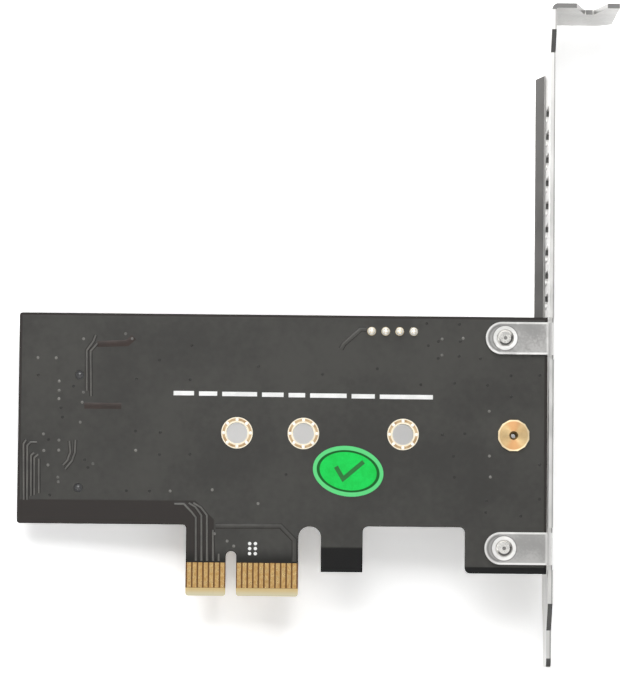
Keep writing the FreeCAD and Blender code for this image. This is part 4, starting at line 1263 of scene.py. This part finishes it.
@dataclass
class Vias(SubAssembly):
    """Tented vias: shallow craters where a hole is open, and low domes where it is filled.

    The grid's first place and its step are in millimetres.
    """

    radius: float = 0.27 * MM
    rise: float = 0.035 * MM
    segments: int = 14
    seat_reach: float = 3.6 * MM
    part_margin: float = 1.0 * MM
    grid_first: Point = (-12.0, 42.8)
    grid_step: Point = (6.1, -4.6)
    grid_size: tuple[int, int] = (9, 6)
    domed: tuple[Point, ...] = ((1.0, 0.0), (0.85, 0.6), (0.5, 1.3), (0.2, 1.5))
    cratered: tuple[Point, ...] = ((1.0, 0.0), (0.8, 1.0), (0.55, 1.0), (0.3, 0.25))

    def lay(self, name: str, side: Side, places: list[Point], filled: bool) -> None:
        """Lay vias on one face.

        Args:
            name: the piece's name.
            side: the face.
            places: (x, z) of each, in millimetres.
            filled: whether they are domes.
        """
        # Domes take the mask with painted highlight, craters the mask with painted shade.
        shape, finish = (self.domed, VIA_HIGHLIGHT_MASK) if filled else (self.cratered, VIA_SHADE_MASK)
        profile = [(self.radius * reach, self.rise * lift) for reach, lift in shape]
        centres = [(x * MM, z * MM) for x, z in places]
        self.add(name, turned_parts(profile, centres, side, self.segments), finish, "board_laminate")

    def run(self) -> None:
        """Lay the vias of both faces."""
        bright = [
            (-27.1, 46.2), (-18.3, 46.3), (-35.3, 42.7), (-32.0, 42.7), (-27.0, 36.5),
            (-27.2, 34.7), (-27.5, 31.1), (-31.4, 38.5), (-31.4, 36.8), (-31.4, 35.3),
            (-31.3, 27.8), (-31.3, 26.0), (-33.2, 23.3), (-31.4, 21.1), (-31.3, 20.3),
            (-11.1, 18.8), (-34.1, 28.9), (-34.0, 25.9), (-25.1, 23.6), (-19.5, 47.2),
            (-17.4, 26.1), (-3.0, 11.2), (-0.7, 9.9), (0.5, 9.0), (-3.5, 19.1),
            (4.8, 16.7), (37.8, 46.8), (37.8, 43.9), (41.6, 47.0), (46.4, 33.8),
            (46.7, 21.9), (46.5, 25.7),
        ]
        dark = [
            (-13.3, 42.5), (-13.0, 29.4), (-13.1, 25.4), (-26.6, 24.3), (-26.0, 22.9),
            (-19.0, 18.8), (-14.8, 18.8), (-17.4, 39.0), (-35.2, 39.6), (-31.0, 33.7),
            (-30.7, 32.0), (-28.8, 37.6), (-17.5, 29.6), (-33.2, 27.9), (-32.8, 17.9),
            (37.1, 46.4), (35.3, 45.6), (37.1, 43.3), (41.1, 46.4), (40.9, 43.7),
            (40.9, 49.5), (35.0, 49.6), (34.0, 38.5), (40.1, 38.8), (44.8, 43.3),
            (50.3, 40.3), (46.1, 38.5), (50.4, 36.5), (38.0, 29.5), (42.0, 29.7),
            (40.0, 25.6), (40.2, 21.8), (46.0, 17.6), (45.9, 15.5), (52.2, 14.9),
            (55.5, 40.4), (55.6, 24.2), (55.6, 18.0), (-7.7, 39.0), (-7.5, 45.2),
            (4.6, 41.5), (16.2, 40.2), (26.1, 41.3), (9.8, 22.0), (-7.6, 25.5),
        ]
        self.lay("solder_side_open_vias", Side.SOLDER, dark, False)
        self.lay("solder_side_filled_vias", Side.SOLDER, bright, True)
        # The component side has a grid of stitching vias, and most holes of the bracket's end.
        (left, top), (over, down), (columns, rows) = self.grid_first, self.grid_step, self.grid_size
        grid = [(left + over * i, top + down * j) for i in range(columns) for j in range(rows)]
        through = dark[15:38]
        clear = [place for place in grid[::2] + through if self.is_clear(place)]
        self.lay("component_side_open_vias", Side.COMPONENT, clear[::2], False)
        self.lay("component_side_filled_vias", Side.COMPONENT, clear[1::2], True)

    def is_clear(self, place: Point) -> bool:
        """Whether a via of the component side would miss the seats and the parts.

        Args:
            place: its (x, z), in millimetres.

        Returns:
            True where nothing is in its way.
        """
        x, z = place[0] * MM, place[1] * MM
        reaches = [math.hypot(x - seat.x, z - seat.z) for seat in (*SEATS, STANDOFF)]
        if min(reaches) < self.seat_reach:
            return False
        margin = self.part_margin
        boxes = [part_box(name) for name in COMPONENTS]
        return not any(
            low.x - margin < x < high.x + margin and low.z - margin < z < high.z + margin
            for low, high in boxes
        )


@dataclass
class SolderJoints(SubAssembly):
    """Solder domes over the header's pins, in their plated rings."""

    count: int = 4
    segments: int = 28
    ring: float = 0.77 * MM
    ring_rise: float = 0.05 * MM
    ring_top: float = 0.06 * MM
    foot: float = 0.71 * MM
    ring_shoulder: float = 0.9
    height: float = 1.08 * MM
    top_share: float = 0.995
    levels: int = 12

    def run(self) -> None:
        """Set the rings and the domes on the solder side.

        A dome's radius at share s of its height is foot * (1 - s^3)^(1/2), so it wets the
        ring steeply and rounds over the pin's end.
        """
        low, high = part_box("header_solder_joints")
        half = (high.z - low.z) / 2
        across = np.linspace(low.x + half, high.x - half, self.count)
        centres = [(x, (low.z + high.z) / 2) for x in across]
        share = np.linspace(0.0, self.top_share, self.levels)
        dome = list(zip(self.foot * np.sqrt(1 - share**3), share * self.height))
        domes = turned_parts(dome, centres, Side.SOLDER, self.segments)
        joints = self.add("header_joint_domes", domes, BRIGHT_SOLDER, "solder")
        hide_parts("header_solder_joints")
        shoulder = self.foot * self.ring_shoulder
        ring = [(self.ring, 0.0), (self.ring, self.ring_rise), (shoulder, self.ring_top)]
        rings = turned_parts(ring, centres, Side.SOLDER, self.segments)
        self.add("header_joint_rings", rings, PAD_GOLD, "pad_gold")


@dataclass
class PegTips(SubAssembly):
    """Rounded ends of the module socket's two pegs, just inside their holes."""

    radius: float = 0.72 * MM
    dome: float = 0.28 * MM
    recess_shade: float = 0.3 * MM
    across: float = -27.7 * MM
    up: float = 10.2 * MM
    tip_share: float = 0.08
    levels: int = 8
    segments: int = 24

    def run(self) -> None:
        """Set both tips: a dome whose lift is dome * (1 - (r / radius)^2), below the face."""
        low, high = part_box("m2_socket_housing")
        reach = np.linspace(1.0, self.tip_share, self.levels)
        profile = list(zip(self.radius * reach, self.dome * (1 - reach**2) - self.recess_shade))
        middle = (low.z + high.z) / 2
        centres = [(self.across, middle + self.up * turn) for turn in (-1, 1)]
        tips = turned_parts(profile, centres, Side.SOLDER, self.segments)
        self.add("socket_peg_tips", tips, PEG_NYLON, "socket_plastic")


@dataclass
class SeatVias(SubAssembly):
    """Small solder-filled vias round each module seat's ring."""

    orbit: float = 2.42 * MM
    count: int = 8
    radius: float = 0.3 * MM
    rise: float = 0.09 * MM
    segments: int = 16
    shape: tuple[Point, ...] = ((1.0, 0.3), (0.95, 0.7), (0.7, 0.95), (0.3, 1.0))

    def run(self) -> None:
        """Set the rings of small domes on both faces."""
        turns = np.arange(self.count) * math.tau / self.count
        centres = [
            (seat.x + self.orbit * math.cos(turn), seat.z + self.orbit * math.sin(turn))
            for seat in SEATS for turn in turns
        ]
        dome = [(self.radius * reach, self.rise * lift) for reach, lift in self.shape]
        for side in Side:
            domes = turned_parts(dome, centres, side, self.segments)
            self.add(side.name.lower() + "_side_seat_vias", domes, BRIGHT_SOLDER, "pad_gold")


@dataclass
class BoreThread(SubAssembly):
    """The screw thread inside the standoff's bore. Half its ridge's foot is a share of the pitch."""

    wall: float = 0.795 * MM
    crest: float = 0.46 * MM
    pitch: float = 0.4 * MM
    half_foot: float = 0.4
    steps: int = 20
    inset: float = 0.3 * MM

    def run(self) -> None:
        """Wind a ridge of triangular section up the bore.

        At angle a the ridge's middle is lifted by pitch * a / (2 pi), and its section has
        two corners on the bore's wall and one at the crest.
        """
        low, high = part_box("module_standoff")
        turns = (high.y - low.y - 2 * self.inset) / self.pitch
        angle = np.linspace(0.0, turns * math.tau, int(turns * self.steps))
        radius = np.array((self.wall, self.crest, self.wall))
        lift = np.array((-self.half_foot, 0.0, self.half_foot)) * self.pitch
        depth = low.y + self.inset + angle[:, None] * self.pitch / math.tau + lift
        across = STANDOFF.x + radius * np.cos(angle)[:, None]
        up = STANDOFF.z + radius * np.sin(angle)[:, None]
        points = np.stack((across, depth, up), axis=-1).reshape(-1, 3)
        ridge = (points, tube_faces(len(angle), len(radius)))
        # Its finish is brass darkened as painted shade.
        self.add("standoff_bore_thread", ridge, SHADED_THREAD_BRASS, "standoff_brass")


@dataclass
class Print(SubAssembly):
    """White printed marks on the board, and the tick on the label.

    The bars' lengths, gap and first end are in millimetres. They lie along a line that falls
    slightly to the right.
    """

    film: float = 0.03 * MM
    slope: float = 0.02 * MM
    bars: tuple[float, ...] = (3.7, 3.3, 6.3, 3.9, 3.0, 6.6, 4.2, 9.6)
    bar_gap: float = 0.9
    bar_left: float = -10.7
    bar_middle: float = 36.45
    bar_fall: float = 0.008
    bar_height: float = 0.8 * MM
    dot_radius: float = 0.31 * MM
    dot_shoulder: float = 0.8
    dot_top: float = 0.1 * MM
    dot_gap: Point = (1.03 * MM, 0.9 * MM)
    dot_first: Point = (3.37 * MM, 7.68 * MM)
    dot_segments: int = 20
    tick: tuple[Point, ...] = ((-2.3, 0.5), (-0.7, -1.5), (2.5, 2.1))
    tick_width: float = 0.75 * MM
    outline: float = 0.14 * MM
    outline_margin: float = 0.45 * MM
    socket_margin: float = 1.6 * MM

    def run(self) -> None:
        """Print the marks of both faces."""
        self.print_bars()
        self.print_dots()
        self.print_tick()
        self.print_outlines()

    def strip(self, path: list[Point], width: float, side: Side = Side.SOLDER) -> Parts:
        """A strip of ink along a line."""
        return strip_parts(path, width, self.film, self.slope, side)

    def print_bars(self) -> None:
        """A row of plain bars of different lengths, where a line of words could stand."""
        left, parts = self.bar_left, []
        for length in self.bars:
            middle = (self.bar_middle - self.bar_fall * left) * MM
            path = [(left * MM, middle), ((left + length) * MM, middle)]
            parts.append(self.strip(path, self.bar_height - 2 * self.slope))
            left += length + self.bar_gap
        self.add("printed_bars", join_parts(parts), WHITE_INK, "white_ink")

    def print_dots(self) -> None:
        """Two columns of three dots above the contact blade."""
        centres = [
            (self.dot_first[0] + self.dot_gap[0] * column, self.dot_first[1] + self.dot_gap[1] * row)
            for column in range(2) for row in range(3)
        ]
        shoulder = self.dot_radius * self.dot_shoulder
        profile = [(self.dot_radius, 0.0), (shoulder, self.film), (self.dot_top, self.film)]
        dots = turned_parts(profile, centres, Side.SOLDER, self.dot_segments)
        self.add("printed_dots", dots, WHITE_INK, "white_ink")

    def print_tick(self) -> None:
        """A plain tick in the middle of the label."""
        low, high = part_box("inspection_label")
        centre = (low + high) / 2
        turn = Matrix.Rotation(LabelFinish.turn, 2)
        steps = [turn @ Vector(corner) * MM for corner in self.tick]
        path = [(centre.x + step.x, centre.z + step.y) for step in steps]
        points, faces = self.strip(path, self.tick_width)
        points[:, 1] -= high.y - low.y
        self.add("label_tick", (points, faces), TICK_INK, "label_green")

    def print_outlines(self) -> None:
        """Thin white frames round the parts of the component side."""
        parts = []
        for name in ("m2_socket_housing", "header_body", "bulk_capacitors", "ceramic_capacitors"):
            low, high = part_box(name)
            margin = self.socket_margin if name == "m2_socket_housing" else self.outline_margin
            left, right = low.x - margin, high.x + margin
            foot, top = low.z - margin, high.z + margin
            ring = [(left, foot), (right, foot), (right, top), (left, top), (left, foot)]
            parts += [self.strip(list(run), self.outline, Side.COMPONENT) for run in zip(ring, ring[1:])]
        self.add("printed_outlines", join_parts(parts), WHITE_INK, "white_ink")


@dataclass
class SocketContacts(SubAssembly):
    """Spring contacts in the module socket's slot, one behind each lead."""

    pitch: float = 0.5 * MM
    width: float = 0.2 * MM
    thickness: float = 0.1 * MM
    slot_centre: float = 3.65 * MM
    slot_depth: Point = (4.2 * MM, 0.75 * MM)
    half_gap: float = 0.55 * MM
    press: float = 0.3 * MM
    off_wall: float = 0.6
    lead_width: float = 0.22 * MM
    key_places: int = 4
    steps: int = 9

    def run(self) -> None:
        """Set both rows of contacts.

        A contact's middle stands off_wall of its thickness off the slot's wall, and bulges
        into the slot by press * sin(pi s)^2 at share s of its length.
        """
        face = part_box("m2_socket_housing")[1].x
        along = np.linspace(face - self.slot_depth[0], face - self.slot_depth[1], self.steps)
        share = (along - along[0]) / (along[-1] - along[0])
        dip = self.press * np.sin(share * math.pi) ** 2
        rows = (("upper", 1, "m2_rear_leads", 5), ("lower", -1, "m2_front_leads", 4))
        for name, turn, leads, short_run in rows:
            wall = self.slot_centre + turn * (self.half_gap - self.thickness * self.off_wall)
            path = list(zip(along, wall - turn * dip))
            strips = ribbon_parts(path, self.thickness, self.width, self.places(leads, short_run))
            self.add("socket_contacts_" + name, strips, GOLD, "contact_gold")

    def places(self, leads: str, short_run: int) -> np.ndarray:
        """Find the heights of a row's contacts, one for each lead.

        Args:
            leads: the node of the row's leads.
            short_run: number of leads below the key's gap.

        Returns:
            Z of each contact's middle, with the key's gap left out.
        """
        low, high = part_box(leads)
        count = round((high.z - low.z - self.lead_width) / self.pitch) + 1
        heights = low.z + self.lead_width / 2 + self.pitch * np.arange(count)
        return np.concatenate((heights[:short_run], heights[short_run + self.key_places:]))


@dataclass
class CapacitorBands(SubAssembly):
    """The dark band at the marked end of each moulded capacitor."""

    count: int = 3
    body_width: float = 2.8 * MM
    band: float = 0.55 * MM
    film: float = 0.015 * MM
    side_inset: float = 0.12 * MM
    top_inset: float = 0.75 * MM

    def run(self) -> None:
        """Print the bands on the capacitors' tops."""
        low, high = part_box("bulk_capacitors")
        height, reach = high.z - self.top_inset, self.body_width - 2 * self.side_inset
        lefts = np.linspace(low.x, high.x - self.body_width, self.count) + self.side_inset
        paths = [[(left, height), (left + reach, height)] for left in lefts]
        strips = [strip_parts(path, self.band, self.film, self.film, Side.COMPONENT) for path in paths]
        points, faces = join_parts(strips)
        points[:, 1] += high.y - BOARD_HIGH.y
        self.add("capacitor_bands", (points, faces), RESIN_BAND, "bulk_resin")


# --- stage ---------------------------------------------------------------------------------


@dataclass(frozen=True)
class SoftLamp:
    """A rectangular lamp."""

    name: str
    place: tuple[float, float, float]
    size: Point
    power: float

    def aim(self, target: Vector) -> bpy.types.Object:
        """Set the lamp so that it looks at a place.

        Args:
            target: the place.

        Returns:
            The lamp.
        """
        data = bpy.data.lights.new(self.name, "AREA")
        data.shape, data.energy = "RECTANGLE", self.power
        data.size, data.size_y = self.size
        lamp = bpy.data.objects.new(self.name, data)
        lamp.location = self.place
        lamp.rotation_mode = "QUATERNION"
        lamp.rotation_quaternion = (target - Vector(self.place)).to_track_quat("-Z", "Y")
        bpy.context.scene.collection.objects.link(lamp)
        return lamp


@dataclass
class Stage:
    """Pale floor and backdrop, soft lamps, a pale world and the camera."""

    backdrop_gap: float = 1.0 * MM
    backdrop_lean: float = 0.128
    backdrop_reach: float = 0.3
    floor_gap: float = 0.15 * MM
    reach: float = 0.9
    ambient: float = 0.5
    ambient_low: float = 0.2
    ambient_rise: Point = (-0.1, 0.9)
    rise_shine: float = 0.1
    front_shade: float = 0.42
    front_turn: Point = (-0.95, -0.2)
    outer_shade: float = 0.62
    outer_turn: Point = (0.3, 0.9)
    glow: float = 0.02
    paper: float = 0.85
    paper_spread: float = 0.02
    paper_roughness: float = 0.9
    paper_gloss: float = 0.1
    bright: float = 1.42
    mirrored: float = 1.12
    grain: float = 300.0
    fade_reach: Point = (0.16, 0.4)
    clear: float = 0.2
    clear_rise: Point = (60 * MM, 85 * MM)
    lamps: tuple[SoftLamp, ...] = (
        SoftLamp("key_lamp", (-0.06, -0.5, 0.42), (0.44, 0.44), 3.0),
        SoftLamp("rear_lamp", (-0.1, 0.6, 0.45), (0.45, 0.45), 2.2),
    )
    paper_lamp: SoftLamp = SoftLamp(
        "paper_lamp", (18 * MM, 4 * MM, SEATS[0].z), (48 * MM, 6 * MM), 0.00072
    )
    camera_place: tuple[float, float, float] = (13.74 * MM, -717.9 * MM, -5.3 * MM)
    yaw: float = math.radians(-0.155)
    pitch: float = math.radians(4.168)
    roll: float = math.radians(-0.566)
    lens: float = 212.149
    film_width: float = 36.0
    clip: Point = (0.01, 10.0)

    def run(self) -> None:
        """Set the whole stage."""
        self.set_floor()
        self.set_backdrop()
        self.set_world()
        self.set_lamps()
        self.set_camera()
        bpy.context.scene.view_settings.view_transform = "Standard"

    def sheet(
        self, name: str, corners: list[tuple[float, float, float]], material: bpy.types.Material
    ) -> None:
        """Set a flat sheet of the stage, which isn't a piece of the card.

        Args:
            name: its name.
            corners: its corners, anticlockwise from the side that it faces.
            material: its finish.
        """
        mesh = bpy.data.meshes.new(name)
        mesh.from_pydata(corners, [], [(0, 1, 2, 3)])
        mesh.materials.append(material)
        sheet = bpy.data.objects.new(name, mesh)
        bpy.context.scene.collection.objects.link(sheet)

    def pale_material(self, name: str, open_behind: bool) -> bpy.types.Material:
        """White paper that keeps its shadows, and is a full white to what looks at it.

        Args:
            name: the material's name.
            open_behind: whether it is clear from behind and lets lamps through.

        Returns:
            The material.
        """
        material, graph, shader = new_material(name)
        path = graph.node("LightPath").outputs
        mirrored = graph.math("MAXIMUM", path["Is Glossy Ray"], path["Is Transmission Ray"])
        grain = use_grain(graph, *[self.grain] * 3)
        paper, bright = [
            graph.blend(grain, (tone,) * 3, (tone + self.paper_spread,) * 3)
            for tone in (self.paper, self.bright)
        ]
        shiny = graph.blend(mirrored, paper, (self.mirrored,) * 3)
        graph.feed(shader.inputs["Base Color"], graph.blend(path["Is Camera Ray"], shiny, bright))
        shader.inputs["Roughness"].default_value = self.paper_roughness
        shader.inputs["Specular IOR Level"].default_value = self.paper_gloss
        light = graph.node("Emission", {"Color": (1.0, 1.0, 1.0)})
        across, depth, up = graph.axes(graph.place())
        away = graph.math("MAXIMUM", graph.math("ABSOLUTE", across), graph.math("ABSOLUTE", depth))
        away = graph.math("MAXIMUM", away, up)
        # Camera rays see a glow that grows away from the card and up high: painted light that whitens the
        # paper and its shadows there.
        fade = graph.ramp(away, *self.fade_reach, self.glow, 1.0)
        fade = graph.math("MAXIMUM", fade, graph.ramp(up, *self.clear_rise, self.glow, self.clear))
        graph.feed(light.inputs["Strength"], graph.times(path["Is Camera Ray"], fade))
        lit = graph.node("AddShader", {0: shader.outputs[0], 1: light.outputs[0]}).outputs[0]
        output = material.node_tree.nodes["Material Output"]
        if open_behind:
            behind = graph.node("NewGeometry").outputs["Backfacing"]
            passed = graph.math("MAXIMUM", behind, path["Is Shadow Ray"])
            clear = graph.node("BsdfTransparent").outputs[0]
            lit = graph.node("MixShader", {0: passed, 1: lit, 2: clear}).outputs[0]
        graph.feed(output.inputs["Surface"], lit)
        return material

    def set_floor(self) -> None:
        """Set a wide pale floor just under the bracket's tongue."""
        height, reach = CAD_BOX[0].z - self.floor_gap, self.reach
        corners = [(-reach, -reach), (reach, -reach), (reach, reach), (-reach, reach)]
        level = [(*corner, height) for corner in corners]
        self.sheet("floor", level, self.pale_material("pale floor", False))

    def set_backdrop(self) -> None:
        """Set a pale sheet on which the bracket's far edge and the card's far end nearly rest."""
        low, reach = CAD_BOX[0].z - self.floor_gap, self.backdrop_reach
        rest = CAD_BOX[1].y + self.backdrop_gap
        left, right = [rest + self.backdrop_lean * (side - BOARD_HIGH.x) for side in (-reach, reach)]
        corners = [(-reach, left, low), (reach, right, low), (reach, right, reach), (-reach, left, reach)]
        self.sheet("backdrop", corners, self.pale_material("pale backdrop", True))

    def set_world(self) -> None:
        """Set a pale surround: white where it is seen, and greyer in metal towards the front."""
        world = bpy.data.worlds.new("pale surround")
        bpy.context.scene.world = world
        world.use_nodes = True
        graph = Graph(world.node_tree)
        background = world.node_tree.nodes["Background"]
        across, depth, height = graph.axes(graph.node("TexCoord").outputs["Generated"])
        path = graph.node("LightPath").outputs
        beyond = graph.ramp(across, *self.outer_turn, 1.0, self.outer_shade)
        front = graph.times(graph.ramp(depth, *self.front_turn, self.front_shade, 1.0), beyond)
        lifted = graph.math("MULTIPLY_ADD", height, self.rise_shine, front)
        upper = graph.ramp(height, *self.ambient_rise, self.ambient_low, 1.0)
        ambient = graph.times(upper, self.ambient)
        shine = graph.math("MAXIMUM", path["Is Glossy Ray"], path["Is Transmission Ray"])
        level = graph.math("ADD", graph.times(shine, lifted), ambient)
        level = graph.math("MINIMUM", level, lifted)
        graph.feed(background.inputs["Color"], (1.0, 1.0, 1.0))
        graph.feed(background.inputs["Strength"], graph.math("MAXIMUM", level, path["Is Camera Ray"]))

    def set_lamps(self) -> None:
        """Set a soft lamp high in front, one behind, and one for the paper behind the seats.

        The last is faint and unseen. It lights only the paper that shows through the seats.
        """
        for lamp in self.lamps:
            lamp.aim((CAD_BOX[0] + CAD_BOX[1]) / 2)
        unseen = self.paper_lamp.aim(Vector(self.paper_lamp.place) + Vector((0.0, 1.0, 0.0)))
        unseen.visible_camera = unseen.visible_glossy = False

    def set_camera(self) -> None:
        """Set the camera, nearly square to the solder side from about 0.7 m.

        Its axes are the rows of roll times pitch times yaw.
        """
        cy, sy = math.cos(self.yaw), math.sin(self.yaw)
        cp, sp = math.cos(self.pitch), math.sin(self.pitch)
        cr, sr = math.cos(self.roll), math.sin(self.roll)
        yaw = Matrix(((cy, sy, 0), (-sy, cy, 0), (0, 0, 1)))
        pitch = Matrix(((1, 0, 0), (0, cp, sp), (0, -sp, cp)))
        roll = Matrix(((cr, 0, -sr), (0, 1, 0), (sr, 0, cr)))
        right, forward, up = roll @ pitch @ yaw
        data = bpy.data.cameras.new("camera")
        data.sensor_width = self.film_width
        data.lens = self.lens
        data.clip_start, data.clip_end = self.clip
        camera = bpy.data.objects.new("camera", data)
        turn = Matrix((right, up, -forward)).transposed().to_4x4()
        camera.matrix_world = Matrix.Translation(self.camera_place) @ turn
        bpy.context.scene.collection.objects.link(camera)
        bpy.context.scene.camera = camera


def main() -> None:
    """Dress the frame, add every piece, and set the stage."""
    logging.basicConfig(level=logging.INFO, format="%(message)s")
    palette = Palette()
    palette.dress_frame()
    on_board = (Traces, Vias, SolderJoints, PegTips, SeatVias, BoreThread, Print)
    for pieces in (*on_board, SocketContacts, CapacitorBands):
        pieces(palette).run()
    Stage().run()


if __name__ == "__main__":
    main()
